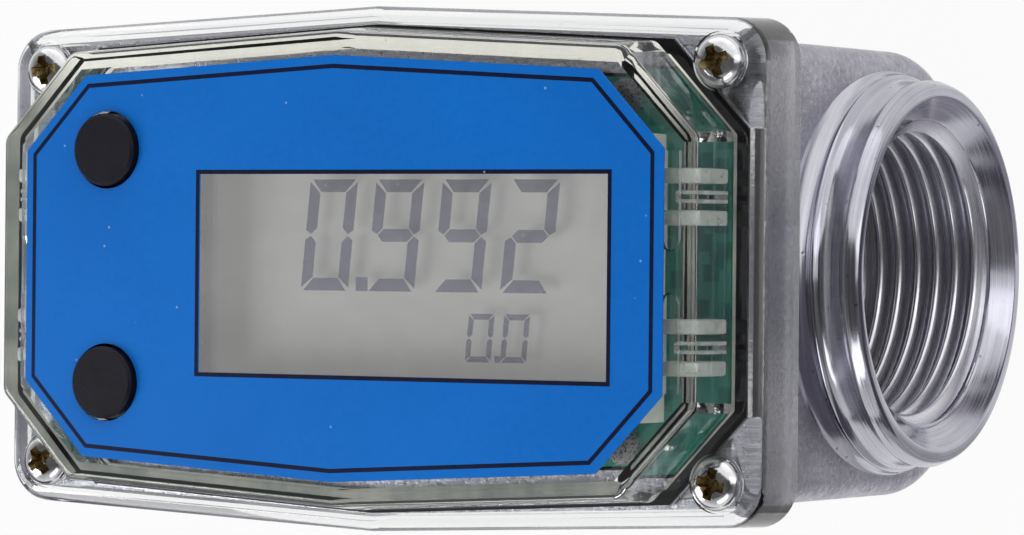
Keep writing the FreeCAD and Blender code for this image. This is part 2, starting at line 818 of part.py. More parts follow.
# -------------------------------------------------------------------------------------- board
board = new_body("circuit_board", out="board_height")
sheet_outline = new_sketch(board, "board_outline", "XY_Plane")
outline(sheet_outline, decagon("pocket_inset - board_play", "-pocket_roof_inset - board_play"))
for across, up in four("post_across", "post_up"):
    circle(sheet_outline, across, up, "board_screw_radius + screw_play")
pad(board, "board_sheet", sheet_outline, "board_thickness")
keep(board, "circuit_board")
fixing = turned("board_screw", [
    ("0", "-board_screw_length"), ("board_screw_radius", "-board_screw_length"),
    ("board_screw_radius", "0"), ("board_screw_head", "0"),
    ("board_screw_head", "board_screw_rise"), ("0", "board_screw_rise"),
], "V_Axis", "post_across", "post_up", BOARD_TOP)
fix_right = mirrored("board_screw_right", fixing, UP)
fix_left = mirrored("board_screw_left", fixing, ACROSS)
fix_last = mirrored("board_screw_last", fix_right, ACROSS)
group("board_screws", [fixing, fix_right, fix_left, fix_last])

# ------------------------------------------------------------------------------------ display
DISPLAY_X = "((window_left + window_right) / 2)"
DISPLAY_Y = "((window_low + window_high) / 2)"
DISPLAY_LONG = "(window_right - window_left + 2 * display_margin)"
DISPLAY_WIDE = "(window_high - window_low + 2 * display_roof_margin)"
DISPLAY_LOW = "(" + FACE + " - plate_thickness - display_gap - display_thickness)"
LEDGE = "(" + DISPLAY_LOW + " - reflector_thickness)"
glass = box("display_panel", DISPLAY_LONG, DISPLAY_WIDE, "display_thickness",
            DISPLAY_X, DISPLAY_Y, DISPLAY_LOW)
keep(glass, "display_glass")
backing = box("display_backing", DISPLAY_LONG,
              DISPLAY_WIDE + " - 2 * (carrier_ledge + zebra_width - reflector_lap)",
              "reflector_thickness", DISPLAY_X, DISPLAY_Y, LEDGE)
keep(backing, "display_reflector")
GROW = " + 2 * (carrier_margin + carrier_play)"
shell = box("carrier_shell", DISPLAY_LONG + GROW, DISPLAY_WIDE + GROW,
            LEDGE + " + carrier_lip - " + BOARD_TOP, DISPLAY_X, DISPLAY_Y, BOARD_TOP)
bed = box("carrier_bed", DISPLAY_LONG + " + 2 * carrier_play", DISPLAY_WIDE + " + 2 * carrier_play",
          "carrier_lip + 1", DISPLAY_X, DISPLAY_Y, LEDGE)
hollow = box("carrier_hollow", DISPLAY_LONG + " - 2 * display_margin",
             DISPLAY_WIDE + " - 2 * (carrier_ledge + zebra_width)", LEDGE + " - " + BOARD_TOP + " + 2",
             DISPLAY_X, DISPLAY_Y, BOARD_TOP + " - 1")
ZEBRA_Y = "((window_high - window_low + 2 * display_roof_margin - carrier_ledge - zebra_width) / 2)"
slot_tall = DISPLAY_LOW + " - " + BOARD_TOP + " + 1"
slots = []
strips = []
for side, sign in (("high", "+"), ("low", "-")):
    middle = "(%s %s %s)" % (DISPLAY_Y, sign, ZEBRA_Y)
    slots.append(box("slot_" + side, "2 * (zebra_half + carrier_play)",
                     "zebra_width + 2 * carrier_play", slot_tall, DISPLAY_X, middle,
                     BOARD_TOP + " - 0.5"))
    strips.append(box("strip_" + side, "2 * zebra_half", "zebra_width",
                      DISPLAY_LOW + " - " + BOARD_TOP, DISPLAY_X, middle, BOARD_TOP))
keep(take_away("carrier", shell, bed, hollow, slots[0], slots[1]), "display_frame")
group("contact_strips", strips)

# -------------------------------------------------------------------------- parts on the board
BOARD_LOW = "board_height"
chip = box("chip", "chip_size", "chip_size", "chip_height", DISPLAY_X, DISPLAY_Y, BOARD_TOP)
keep(chip, "controller_chip")
can = box("crystal_can", "crystal_length", "crystal_width", "crystal_height",
          DISPLAY_X + " - chip_size - crystal_length / 2", DISPLAY_Y, BOARD_TOP)
keep(can, "crystal")
caps = []
for step in (0, 1):
    middle = "(%s + chip_size + %d * capacitor_pitch)" % (DISPLAY_X, step)
    caps.append(box("capacitor%d" % step, "capacitor_length", "capacitor_width",
                    "capacitor_height", middle, DISPLAY_Y, BOARD_TOP))
group("capacitors", caps)

# ---------------------------------------------------------------------------------- batteries
CELL_Z = "(pocket_floor + tray_floor + tray_play + cell_radius)"
cell = turned("cell", [
    ("-cell_length / 2", "0"), ("-cell_length / 2", "cell_radius"),
    ("cell_length / 2 - 0.6", "cell_radius"), ("cell_length / 2", "cell_radius - 0.6"),
    ("cell_length / 2", "1.9"), ("cell_length / 2 + cell_nub", "1.9"),
    ("cell_length / 2 + cell_nub", "0"),
], "H_Axis", "0", "cell_spread", CELL_Z)
cell_two = turned("cell_two", [
    ("cell_length / 2", "0"), ("cell_length / 2", "cell_radius"),
    ("-cell_length / 2 + 0.6", "cell_radius"), ("-cell_length / 2", "cell_radius - 0.6"),
    ("-cell_length / 2", "1.9"), ("-cell_length / 2 - cell_nub", "1.9"),
    ("-cell_length / 2 - cell_nub", "0"),
], "H_Axis", "0", "-cell_spread", CELL_Z)
group("batteries", [cell, cell_two])
tray_block = box("tray_block", "2 * tray_half_length", "2 * tray_half_width", "tray_height",
                 "0", "0", "pocket_floor")
troughs = []
for side, sign in (("high", ""), ("low", "-")):
    troughs.append(rod("trough_" + side, "cell_radius + tray_play",
                       "cell_length + 2 * cell_nub + 2 * contact_thickness + 0.4",
                       "-cell_length / 2 - cell_nub - contact_thickness - 0.2",
                       sign + "cell_spread", CELL_Z, along="X"))
opening = rod("tray_hole", "sensor_radius + 0.8", "tray_height + 2", "0", "0", "pocket_floor - 1")
slits = []
for side, sign in (("right", ""), ("left", "-")):
    slits.append(box("slit_" + side, "contact_thickness + 0.2",
                     "2 * (cell_spread + contact_size / 2) + 0.2", "tray_height",
                     sign + "(cell_length / 2 + cell_nub + contact_thickness / 2 + 0.1)", "0",
                     "pocket_floor + tray_floor"))
tray = take_away("tray", tray_block, troughs[0], troughs[1], opening, slits[0], slits[1])
keep(tray, "battery_tray")
plates = []
for side, sign in (("right", ""), ("left", "-")):
    for row, half in (("high", ""), ("low", "-")):
        plates.append(box("plate_%s_%s" % (side, row), "contact_thickness", "contact_size",
                          "2 * cell_radius",
                          sign + "(cell_length / 2 + cell_nub + contact_thickness / 2 + 0.05)",
                          half + "cell_spread", "pocket_floor + tray_floor"))
group("battery_contacts", plates)

# ------------------------------------------------------------------------------- pickup sensor
SENSOR_LOW = "(axis_height + chamber_radius + sensor_wall)"
sensor = rod("sensor", "sensor_radius", "sensor_height", "0", "0", SENSOR_LOW)
keep(sensor, "pickup_sensor")
wires = []
for side, sign in (("right", ""), ("left", "-")):
    wires.append(box("wire_" + side, "lead_width", "lead_width",
                     BOARD_LOW + " - " + SENSOR_LOW + " - sensor_height",
                     sign + "lead_pitch / 2", "0", SENSOR_LOW + " + sensor_height"))
group("sensor_leads", wires)

# --------------------------------------------------------------------------- turbine cartridge
RING = "(bore_radius - cartridge_play)"
SUPPORT_END = "(chamber_half + support_length)"


def flow_support(name):
    """Straightener: outer ring, bullet-nosed hub with a bushing seat, and vanes between them."""
    body = new_body(name, out="axis_height")
    wall = new_sketch(body, name + "_ring", "XZ_Plane")
    outline(wall, [
        ("chamber_half", RING + " - support_wall"), ("chamber_half", RING),
        (SUPPORT_END, RING), (SUPPORT_END, RING + " - support_wall"),
    ])
    revolve(body, name + "_ring_turn", wall, "H_Axis")
    core = new_sketch(body, name + "_hub", "XZ_Plane")
    outline(core, [
        ("hub_reach", "0"), ("hub_reach", "hub_radius"),
        (SUPPORT_END + " - 3", "hub_radius"),
        (SUPPORT_END + " - 3 + 0.6 * nose_length", "hub_radius * 0.75"),
        (SUPPORT_END + " - 3 + nose_length", "0"),
    ])
    revolve(body, name + "_hub_turn", core, "H_Axis")
    blade = new_sketch(body, name + "_vane", "XZ_Plane")
    outline(blade, [
        ("chamber_half + 0.8", "hub_radius - 0.5"), ("chamber_half + 0.8", RING + " - 0.7"),
        (SUPPORT_END + " - 0.6", RING + " - 0.7"), (SUPPORT_END + " - 2.2", "hub_radius - 0.5"),
    ])
    vane = pad(body, name + "_vane_pad", blade, "vane_thickness", both=True)
    around(body, name + "_vanes", [vane], "vane_count")
    seat = new_sketch(body, name + "_seat", "XZ_Plane")
    outline(seat, [
        ("hub_reach - 1", "0"), ("hub_reach - 1", "bushing_radius + bushing_play"),
        ("hub_reach + bushing_length - bushing_proud", "bushing_radius + bushing_play"),
        ("hub_reach + bushing_length - bushing_proud + 0.6", "shaft_radius"),
        ("hub_reach + bushing_length - bushing_proud + 0.6", "0"),
    ])
    groove(body, name + "_seat_cut", seat, "H_Axis")
    return body


outlet = flow_support("outlet_support")
keep(outlet, "outlet_support")
inlet_source = flow_support("inlet_form")
keep(mirrored("inlet_twin", inlet_source, ACROSS), "inlet_support")

bushing = turned("bushing", [
    ("hub_reach - bushing_proud", "shaft_radius + shaft_play"),
    ("hub_reach - bushing_proud", "bushing_radius"),
    ("hub_reach - bushing_proud + bushing_length", "bushing_radius"),
    ("hub_reach - bushing_proud + bushing_length", "shaft_radius + shaft_play"),
], "H_Axis", out="axis_height")
group("shaft_bushings", [bushing, mirrored("bushing_twin", bushing, ACROSS)])

SHAFT_END = "(hub_reach + bushing_length - bushing_proud - shaft_end_play)"
shaft = turned("rotor_shaft", [
    ("-" + SHAFT_END, "0"), ("-" + SHAFT_END, "shaft_radius"),
    (SHAFT_END, "shaft_radius"), (SHAFT_END, "0"),
], "H_Axis", out="axis_height")
keep(shaft, "rotor_shaft")

# The rotor: a hub with helical blades, a bore for its shaft and two pockets for its magnets.
rotor = new_body("turbine_rotor", out="axis_height")
rotor_hub = new_sketch(rotor, "rotor_hub_profile", "XZ_Plane")
outline(rotor_hub, [
    ("-rotor_half", "shaft_radius + 0.02"), ("-rotor_half", "rotor_hub"),
    ("rotor_half", "rotor_hub"), ("rotor_half", "shaft_radius + 0.02"),
])
revolve(rotor, "rotor_hub_turn", rotor_hub, "H_Axis")
blade_section = new_sketch(rotor, "blade_section", "XZ_Plane")
outline(blade_section, rectangle("-blade_half", "rotor_hub - 0.6",
                                 "-blade_half + blade_thickness", "blade_radius"))
blade = rotor.newObject("PartDesign::AdditiveHelix", "blade")
blade.Profile = blade_section
blade.ReferenceAxis = (blade_section, ["H_Axis"])
blade.Mode = "pitch-height-angle"
bind(blade, "Pitch", "blade_lead")
bind(blade, "Height", "2 * blade_half - blade_thickness")
doc.recompute()
around(rotor, "blades", [blade], "blade_count")
magnet_holes = new_sketch(rotor, "magnet_circle", "XY_Plane")
circle(magnet_holes, "0", "0", "magnet_radius + bushing_play")
before_magnets = rotor.Shape.Volume
magnet_cut = rotor.newObject("PartDesign::Pocket", "magnet_pockets")
magnet_cut.Profile = magnet_holes
magnet_cut.SideType = "Symmetric"
bind(magnet_cut, "Length", "2 * rotor_hub + 1")
must_cut(rotor, magnet_cut, before_magnets)
keep(rotor, "turbine_rotor")
magnet = rod("magnet", "magnet_radius", "magnet_length", "0", "0",
             "axis_height + rotor_hub - 0.2 - magnet_length")
far_magnet = rod("far_magnet", "magnet_radius", "magnet_length", "0", "0",
                 "axis_height - rotor_hub + 0.2")
group("rotor_magnets", [magnet, far_magnet])

# Sprung retaining rings, open at the bottom, one behind each support.
ring_body = new_body("ring", out="axis_height")
ring_section = new_sketch(ring_body, "ring_section", "XZ_Plane")
outline(ring_section, [
    (SUPPORT_END + " + ring_slack", "bore_radius + ring_groove - ring_height"),
    (SUPPORT_END + " + ring_slack", "bore_radius + ring_groove - ring_slack"),
    (SUPPORT_END + " + ring_slack + ring_width", "bore_radius + ring_groove - ring_slack"),
    (SUPPORT_END + " + ring_slack + ring_width", "bore_radius + ring_groove - ring_height"),
])
ring_turn = ring_body.newObject("PartDesign::Revolution", "ring_turn")
ring_turn.Profile = ring_section
ring_turn.ReferenceAxis = (ring_section, ["H_Axis"])
bind(ring_turn, "Angle", "360 - ring_opening")
ring_turn.Midplane = True
group("retaining_rings", [ring_body, mirrored("ring_twin", ring_body, ACROSS)])

# ------------------------------------------------------------------------------ check and write
doc.recompute()
for item in doc.Objects:
    if "Invalid" in item.State or "Error" in item.State:
        raise RuntimeError(item.Name + " failed: " + ", ".join(item.State))
for piece in PIECES:
    shape = piece.Shape
    if shape.isNull() or not shape.isValid():
        raise RuntimeError(piece.Label + " has no valid shape")
for piece in PIECES:
    piece.Shape.exportStep("parts/%s.step" % piece.Label)
    extent = piece.Shape.BoundBox
    print("%-18s %2d solids %9.1f mm3  x %6.1f %6.1f  y %6.1f %6.1f  z %6.1f %6.1f" % (
        piece.Label, len(piece.Shape.Solids), piece.Shape.Volume, extent.XMin, extent.XMax,
        extent.YMin, extent.YMax, extent.ZMin, extent.ZMax))
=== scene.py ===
# %% [markdown]
# A turbine flow meter, dressed for the camera.  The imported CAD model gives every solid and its
# place; this lesson adds the camera, the studio, the finishes and the small things a solid model
# leaves out: threads, screw recesses, printed lines and display digits.
# Everything is in metres.  The flat back lies on Z = 0 and the display looks up along +Z.

# %% Load the frame
import json
import math

import bmesh
import bpy
from mathutils import Matrix, Vector


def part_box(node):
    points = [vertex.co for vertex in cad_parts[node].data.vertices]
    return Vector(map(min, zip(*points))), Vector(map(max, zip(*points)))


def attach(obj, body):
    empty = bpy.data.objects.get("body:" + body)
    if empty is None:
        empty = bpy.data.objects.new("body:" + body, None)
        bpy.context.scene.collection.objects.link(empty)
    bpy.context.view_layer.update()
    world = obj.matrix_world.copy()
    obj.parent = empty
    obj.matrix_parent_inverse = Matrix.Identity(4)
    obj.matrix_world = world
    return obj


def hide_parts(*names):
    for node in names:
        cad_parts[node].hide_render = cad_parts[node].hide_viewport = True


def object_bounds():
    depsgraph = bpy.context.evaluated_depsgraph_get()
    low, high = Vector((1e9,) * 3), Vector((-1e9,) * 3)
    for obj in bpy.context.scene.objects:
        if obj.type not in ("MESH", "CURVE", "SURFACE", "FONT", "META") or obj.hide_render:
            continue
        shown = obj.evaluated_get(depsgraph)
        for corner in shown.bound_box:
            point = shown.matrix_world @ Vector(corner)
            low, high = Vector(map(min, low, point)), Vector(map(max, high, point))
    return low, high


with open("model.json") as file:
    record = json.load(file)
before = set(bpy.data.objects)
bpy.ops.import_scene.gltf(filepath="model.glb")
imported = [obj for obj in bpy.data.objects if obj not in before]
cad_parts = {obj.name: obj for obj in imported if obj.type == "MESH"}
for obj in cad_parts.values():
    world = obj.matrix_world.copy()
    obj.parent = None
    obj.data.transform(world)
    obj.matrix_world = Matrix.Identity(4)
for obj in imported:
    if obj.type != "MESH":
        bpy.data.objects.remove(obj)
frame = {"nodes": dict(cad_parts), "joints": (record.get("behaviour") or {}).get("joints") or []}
CAD_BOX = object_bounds()
nodes = frame["nodes"]
MM = 0.001

# %% [markdown]
# The camera comes first, because every other choice is judged through it.  A long lens from half a
# metre away keeps the perspective calm.  The camera is turned about the display's upright axis so
# that the outlet port shows; a turn list is easier to read and to change than a look-at target.

# %% Camera
TURN_SIDE = math.radians(30.37)
TURN_ROLL = math.radians(0.63)
TURN_TILT = math.radians(0.20)
CAMERA_PLACE = Vector((0.27427, 0.00134, 0.49382))
FOCAL_LENGTH = 169.57
SENSOR_WIDTH = 36

lens = bpy.data.cameras.new("camera")
lens.lens = FOCAL_LENGTH
lens.sensor_width = SENSOR_WIDTH
camera = bpy.data.objects.new("camera", lens)
camera.matrix_world = (Matrix.Translation(CAMERA_PLACE) @ Matrix.Rotation(TURN_ROLL, 4, "Z")
                       @ Matrix.Rotation(TURN_SIDE, 4, "Y") @ Matrix.Rotation(TURN_TILT, 4, "X"))
bpy.context.scene.collection.objects.link(camera)
bpy.context.scene.camera = camera
bpy.context.scene.view_settings.view_transform = "Standard"
print("camera", round(CAMERA_PLACE.length, 3), "m from the origin")

# %% [markdown]
# Colours are easier to judge as screen values from 0 to 255, but shaders work in linear light, so
# one small helper turns the first into the second.

# %% Colour helper
def paint(red, green, blue):
    """A screen colour, 0 to 255, as the linear colour that a shader wants."""
    linear = []
    for part in (red, green, blue):
        share = part / 255
        linear.append(share / 12.92 if share <= 0.04045 else ((share + 0.055) / 1.055) ** 2.4)
    return (linear[0], linear[1], linear[2], 1.0)


print("middle grey is", round(paint(128, 128, 128)[0], 3))

# %% [markdown]
# Shader trees are built from few kinds of node.  These helpers add one node, feed its sockets by
# name, and link whatever comes from another node, so that a finish reads as a short recipe.

# %% Shader helpers
def feed(tree, socket, value):
    """Link a socket to another node's output, or set it to a plain number or colour."""
    if isinstance(value, bpy.types.NodeSocket):
        tree.links.new(value, socket)
    else:
        socket.default_value = value


def fill(tree, node, **inputs):
    """Feed a node's sockets by name, where _ stands for a space; returns the node."""
    for name, value in inputs.items():
        feed(tree, node.inputs[name.replace("_", " ")], value)
    return node


def add_node(tree, kind, **inputs):
    """Add a node and feed its sockets by name."""
    return fill(tree, tree.nodes.new(kind), **inputs)


def calc(tree, operation, first, second=0.0):
    """One Math node."""
    made = tree.nodes.new("ShaderNodeMath")
    made.operation = operation
    feed(tree, made.inputs[0], first)
    feed(tree, made.inputs[1], second)
    return made.outputs[0]


def times(tree, first, second):
    """The product of two values; of two masks, the part that both cover."""
    return calc(tree, "MULTIPLY", first, second)


def larger(tree, first, second):
    """The larger of two values; of two masks, the part that either covers."""
    return calc(tree, "MAXIMUM", first, second)


def blend_number(tree, factor, first, second):
    """Mix two numbers by a factor."""
    made = tree.nodes.new("ShaderNodeMix")
    for place, value in ((0, factor), (2, first), (3, second)):
        feed(tree, made.inputs[place], value)
    return made.outputs[0]


def blend_colour(tree, factor, first, second):
    """Mix two colours by a factor."""
    made = tree.nodes.new("ShaderNodeMix")
    made.data_type = "RGBA"
    for place, value in ((0, factor), (6, first), (7, second)):
        feed(tree, made.inputs[place], value)
    return made.outputs[2]


def rescale(tree, value, low, high, to_low=0.0, to_high=1.0):
    """Map Range: the step from low to high becomes the step from to_low to to_high."""
    made = tree.nodes.new("ShaderNodeMapRange")
    for socket, number in zip(made.inputs, (value, low, high, to_low, to_high)):
        feed(tree, socket, number)
    return made.outputs[0]


def spread(tree, share, low, high):
    """A value that goes from low to high as a share goes from 0 to 1."""
    return rescale(tree, share, 0.0, 1.0, low, high)


def band(tree, value, low, high, rise, fall):
    """A mask between two limits, with soft edges inside them: rise and fall wide."""
    return times(tree, rescale(tree, value, low, low + rise),
                 rescale(tree, value, high, high - fall))


def new_finish(name):
    """An empty material: returns it with its tree and its main shader."""
    made = bpy.data.materials.new(name)
    made.use_nodes = True
    return made, made.node_tree, made.node_tree.nodes["Principled BSDF"]


def new_group(name, inputs, outputs):
    """A shader node group with float inputs (name, default) and float outputs."""
    group = bpy.data.node_groups.new(name, "ShaderNodeTree")
    for label, default in inputs:
        socket = group.interface.new_socket(label, in_out="INPUT", socket_type="NodeSocketFloat")
        socket.default_value = default
    for label in outputs:
        group.interface.new_socket(label, in_out="OUTPUT", socket_type="NodeSocketFloat")
    return group, group.nodes.new("NodeGroupInput"), group.nodes.new("NodeGroupOutput")


def use_group(tree, group, **inputs):
    """Place a node group in a tree and feed its sockets by name."""
    made = tree.nodes.new("ShaderNodeGroup")
    made.node_tree = group
    return fill(tree, made, **inputs)


def pattern(tree, group, **inputs):
    """The value that a pattern's node group puts out, from 0 to 1."""
    return use_group(tree, group, **inputs).outputs["Value"]


def bump(tree, height, distance, strength=1.0):
    """A bent normal from a height, whose full step is distance deep."""
    made = add_node(tree, "ShaderNodeBump", Height=height, Strength=strength, Distance=distance)
    return made.outputs["Normal"]


def object_point(tree):
    """The place on the object, in metres, which stays put when the object moves."""
    return tree.nodes.new("ShaderNodeTexCoord").outputs["Object"]


def parts_of(tree, vector):
    """The X, Y and Z of a vector, such as object_point, as three outputs."""
    return add_node(tree, "ShaderNodeSeparateXYZ", Vector=vector).outputs


def join_to_surface(tree, factor, first, second):
    """Mix two shaders by a factor into the material's surface."""
    mixed = add_node(tree, "ShaderNodeMixShader", Fac=factor)
    tree.links.new(first.outputs[0], mixed.inputs[1])
    tree.links.new(second.outputs[0], mixed.inputs[2])
    tree.links.new(mixed.outputs[0], tree.nodes["Material Output"].inputs["Surface"])


print("shader helpers ready")

# %% [markdown]
# Nothing real is one even colour.  Mottling is a soft, large noise for stains and uneven plating.
# It is a node group because many finishes share it, each with its own size and contrast.

# %% Group: mottling
mottling, given, result = new_group("mottling", [("Size", 0.004), ("Detail", 4.0)], ["Value"])
noise = add_node(mottling, "ShaderNodeTexNoise", Vector=object_point(mottling),
                 Detail=given.outputs["Detail"], Roughness=0.6,
                 Scale=calc(mottling, "DIVIDE", 1.0, given.outputs["Size"]))
fill(mottling, result, Value=rescale(mottling, noise.outputs["Fac"], 0.3, 0.7))
print("group", mottling.name)

# %% [markdown]
# Specks are small separate dots: pits in a casting, dust on plastic.  A cell texture gives one dot
# in each cell, and a random number per cell keeps only a share of them.

# %% Group: specks
specks, given, result = new_group("specks", [("Size", 0.001), ("Share", 0.2)], ["Value"])
cells = add_node(specks, "ShaderNodeTexVoronoi", Vector=object_point(specks),
                 Scale=calc(specks, "DIVIDE", 1.0, given.outputs["Size"]))
near = rescale(specks, cells.outputs["Distance"], 0.30, 0.12)
pick = add_node(specks, "ShaderNodeSeparateColor", Color=cells.outputs["Color"])
kept = calc(specks, "LESS_THAN", pick.outputs["Red"], given.outputs["Share"])
fill(specks, result, Value=times(specks, near, kept))
print("group", specks.name)

# %% [markdown]
# Hairlines are the fine random scratches of handling.  A noise stretched a lot along one direction
# gives short parallel lines; three turned copies cross each other.

# %% Group: hairlines
hairlines, given, result = new_group("hairlines", [("Size", 0.01), ("Width", 0.02)], ["Value"])
total = None
for turn in (0.35, 1.3, 2.45):
    turned_point = add_node(hairlines, "ShaderNodeMapping", Vector=object_point(hairlines),
                            Rotation=(0.2, 0.1, turn), Scale=(1.0, 22.0, 22.0))
    lines = add_node(hairlines, "ShaderNodeTexNoise", Vector=turned_point.outputs[0], Detail=1.0,
                     Scale=calc(hairlines, "DIVIDE", 1.0, given.outputs["Size"]))
    off = calc(hairlines, "ABSOLUTE", calc(hairlines, "SUBTRACT", lines.outputs["Fac"], 0.55))
    line = rescale(hairlines, off, given.outputs["Width"], 0.0)
    total = line if total is None else larger(hairlines, total, line)
fill(hairlines, result, Value=total)
print("group", hairlines.name)

# %% [markdown]
# A lathe leaves rings around the axis it turns on.  The ports' axis runs along X at a known
# height, so the rings read the distance from that axis and the place along it, and change very
# little around it.

# %% Group: lathe rings
AXIS_HEIGHT = frame["joints"][0]["pos_m"][2]
lathe, given, result = new_group("lathe_rings", [("Pitch", 0.0003)], ["Value", "Radius", "Along"])
x, y, z = parts_of(lathe, object_point(lathe))
height = calc(lathe, "SUBTRACT", z, AXIS_HEIGHT)
radius = calc(lathe, "SQRT", calc(lathe, "ADD", times(lathe, y, y), times(lathe, height, height)))
angle = calc(lathe, "ARCTAN2", height, y)
ring_point = add_node(lathe, "ShaderNodeCombineXYZ", Z=times(lathe, angle, 1.2),
                      X=calc(lathe, "DIVIDE", x, given.outputs["Pitch"]),
                      Y=calc(lathe, "DIVIDE", radius, given.outputs["Pitch"]))
rings = add_node(lathe, "ShaderNodeTexNoise", Vector=ring_point.outputs[0], Scale=1.0, Detail=3.0)
fill(lathe, result, Value=rescale(lathe, rings.outputs["Fac"], 0.3, 0.7), Radius=radius,
     Along=calc(lathe, "ABSOLUTE", x))
print("node groups:", [group.name for group in bpy.data.node_groups])

# %% [markdown]
# Every shape is built as a bmesh, Blender's editable mesh, which operators can act on.  At the end
# it is copied into an ordinary mesh object at the origin.

# %% Object helper
def new_object(name, shape, finishes):
    """Turn a bmesh into a mesh object with its finishes, and put it in the scene."""
    mesh = bpy.data.meshes.new(name)
    shape.to_mesh(mesh)
    shape.free()
    for finish in finishes:
        mesh.materials.append(finish)
    made = bpy.data.objects.new(name, mesh)
    bpy.context.scene.collection.objects.link(made)
    return made


print("object helper ready")

# %% [markdown]
# The studio has a pale floor, a soft sky and three soft panel lamps.  Metal and clear plastic are
# only as good as what they mirror, so a studio lays cards round them, out of the camera's sight.
# Here the cards are zones of the floor's glow that only mirrored rays find: a grey strip beside
# each port and a dark field further out.  Beside each port, on the side of negative Y, mirrored
# rays also find a painted shadow, as if the object shaded the floor there.  Everything else sees
# the plain pale floor, which keeps the object's shadow.

# %% Floor
FLOOR_SIZE = 3.0
EYE_GLOW = 0.93
MIRROR_GLOW = 0.80
GREY_CARD = paint(156, 154, 164)
DARK_CARD_AND_SHADOW = paint(84, 82, 92)
CARD_START = 52 * MM
CARD_EDGE = 1 * MM

floor_finish, tree, shader = new_finish("pale_floor")
fill(tree, shader, Base_Color=(0.82, 0.82, 0.83, 1), Roughness=0.9)
path = tree.nodes.new("ShaderNodeLightPath")
second_hand = larger(tree, path.outputs["Is Glossy Ray"], path.outputs["Is Transmission Ray"])
seen = larger(tree, times(tree, path.outputs["Is Camera Ray"], EYE_GLOW),
              times(tree, second_hand, MIRROR_GLOW))
mirrored = calc(tree, "MINIMUM", path.outputs["Glossy Depth"], 1.0)
x, y = parts_of(tree, object_point(tree))[:2]
along = calc(tree, "ABSOLUTE", x)
beside_port = times(tree, rescale(tree, along, CARD_START, CARD_START + CARD_EDGE), mirrored)
strip = times(tree, band(tree, y, 2 * MM, 18 * MM, 0.5 * MM, 4 * MM),
              rescale(tree, along, 75 * MM, 71 * MM))
strip = times(tree, strip, beside_port)
# painted shadow: on the side of negative Y beside the ports, mirrored rays see the floor darker, as
# if the object shaded it
painted_shadow_side = times(tree, rescale(tree, y, -14 * MM, -20 * MM), times(tree, beside_port, 0.6))
far_field = times(tree, rescale(tree, along, 80 * MM, 88 * MM),
                  rescale(tree, y, 45 * MM, 20 * MM))
far_middle = times(tree, rescale(tree, along, 66 * MM, 70 * MM),
                   rescale(tree, calc(tree, "ABSOLUTE", y), 17 * MM, 9 * MM))
far_field = times(tree, larger(tree, far_field, far_middle), mirrored)
glow_colour = blend_colour(tree, strip, (1, 1, 1, 1), GREY_CARD)
glow_colour = blend_colour(tree, larger(tree, painted_shadow_side, far_field), glow_colour, DARK_CARD_AND_SHADOW)
glow = add_node(tree, "ShaderNodeEmission", Color=glow_colour, Strength=1.0)
join_to_surface(tree, larger(tree, seen, far_field), shader, glow)

floor_shape = bmesh.new()
bmesh.ops.create_grid(floor_shape, x_segments=1, y_segments=1, size=FLOOR_SIZE)
bmesh.ops.translate(floor_shape, verts=floor_shape.verts, vec=(0, 0, CAD_BOX[0][2]))
floor = new_object("floor", floor_shape, [floor_finish])
print("floor at height", CAD_BOX[0][2])

# %% [markdown]
# A world texture is the cheapest way to give metal something soft to mirror.  The sky is pale at
# the horizon and dark overhead, and darker again past the outlet.  One side of it is a bright
# window with a clean, slanted edge, and a dim panel faces it.  The eye sees plain white.  What
# came through clear plastic sees nearly that, or half of it where it was mirrored on the way.

# %% Sky
HORIZON_GLOW = 0.60
OVERHEAD_GLOW = 0.11
PAST_OUTLET = 0.35
WINDOW_GLOW = 0.95
WINDOW_SLANT = 0.36
PANEL_GLOW = 0.30
CLEAR_GLOW = 0.9
CLEAR_GLOW_MIRRORED = 0.48

sky = bpy.data.worlds.new("sky")
sky.use_nodes = True
bpy.context.scene.world = sky
tree = sky.node_tree
x, y, z = parts_of(tree, tree.nodes.new("ShaderNodeTexCoord").outputs["Generated"])
low_sky = times(tree, rescale(tree, z, 0.10, 0.70, HORIZON_GLOW, OVERHEAD_GLOW),
                rescale(tree, x, 0.20, 0.80, 1.0, PAST_OUTLET))
slanted = calc(tree, "ADD", y, times(tree, x, WINDOW_SLANT))
window = rescale(tree, slanted, 0.42, 0.46, 0.0, WINDOW_GLOW)
panel = rescale(tree, y, -0.50, -0.62, 0.0, PANEL_GLOW)
lit = calc(tree, "ADD", low_sky, calc(tree, "ADD", window, panel))
path = tree.nodes.new("ShaderNodeLightPath")
through = times(tree, calc(tree, "MINIMUM", path.outputs["Transmission Depth"], 1.0),
                spread(tree, path.outputs["Glossy Depth"], CLEAR_GLOW, CLEAR_GLOW_MIRRORED))
seen = larger(tree, path.outputs["Is Camera Ray"], through)
fill(tree, tree.nodes["Background"], Color=(1, 1, 1, 1), Strength=larger(tree, seen, lit))
print("sky ready")

# %% [markdown]
# The panel lamps are wide and weak, so that they give soft edges and no hard glints.  The left one
# does most of the work; the others only lift what it leaves dark.

# %% Lamps
def add_lamp(name, place, aim, wide, high, power):
    """A soft panel lamp at a place, aimed at a point."""
    light = bpy.data.lights.new(name, "AREA")
    light.shape = "RECTANGLE"
    light.size = wide
    light.size_y = high
    light.energy = power
    lamp = bpy.data.objects.new(name, light)
    lamp.location = place
    lamp.rotation_euler = (Vector(aim) - Vector(place)).to_track_quat("-Z", "Y").to_euler()
    bpy.context.scene.collection.objects.link(lamp)


BODY_CENTRE = (0, 0, 0.03)
OUTLET_CENTRE = (0.05, 0, 0.03)
add_lamp("left_panel", (-0.58, -0.26, 0.46), BODY_CENTRE, 0.36, 0.36, 2.7)
add_lamp("low_panel", (0.20, -0.55, 0.45), BODY_CENTRE, 0.5, 0.25, 0.8)
add_lamp("side_panel", (0.60, 0.10, 0.25), OUTLET_CENTRE, 0.25, 0.5, 0.3)
print("lamps:", len(bpy.data.lights))

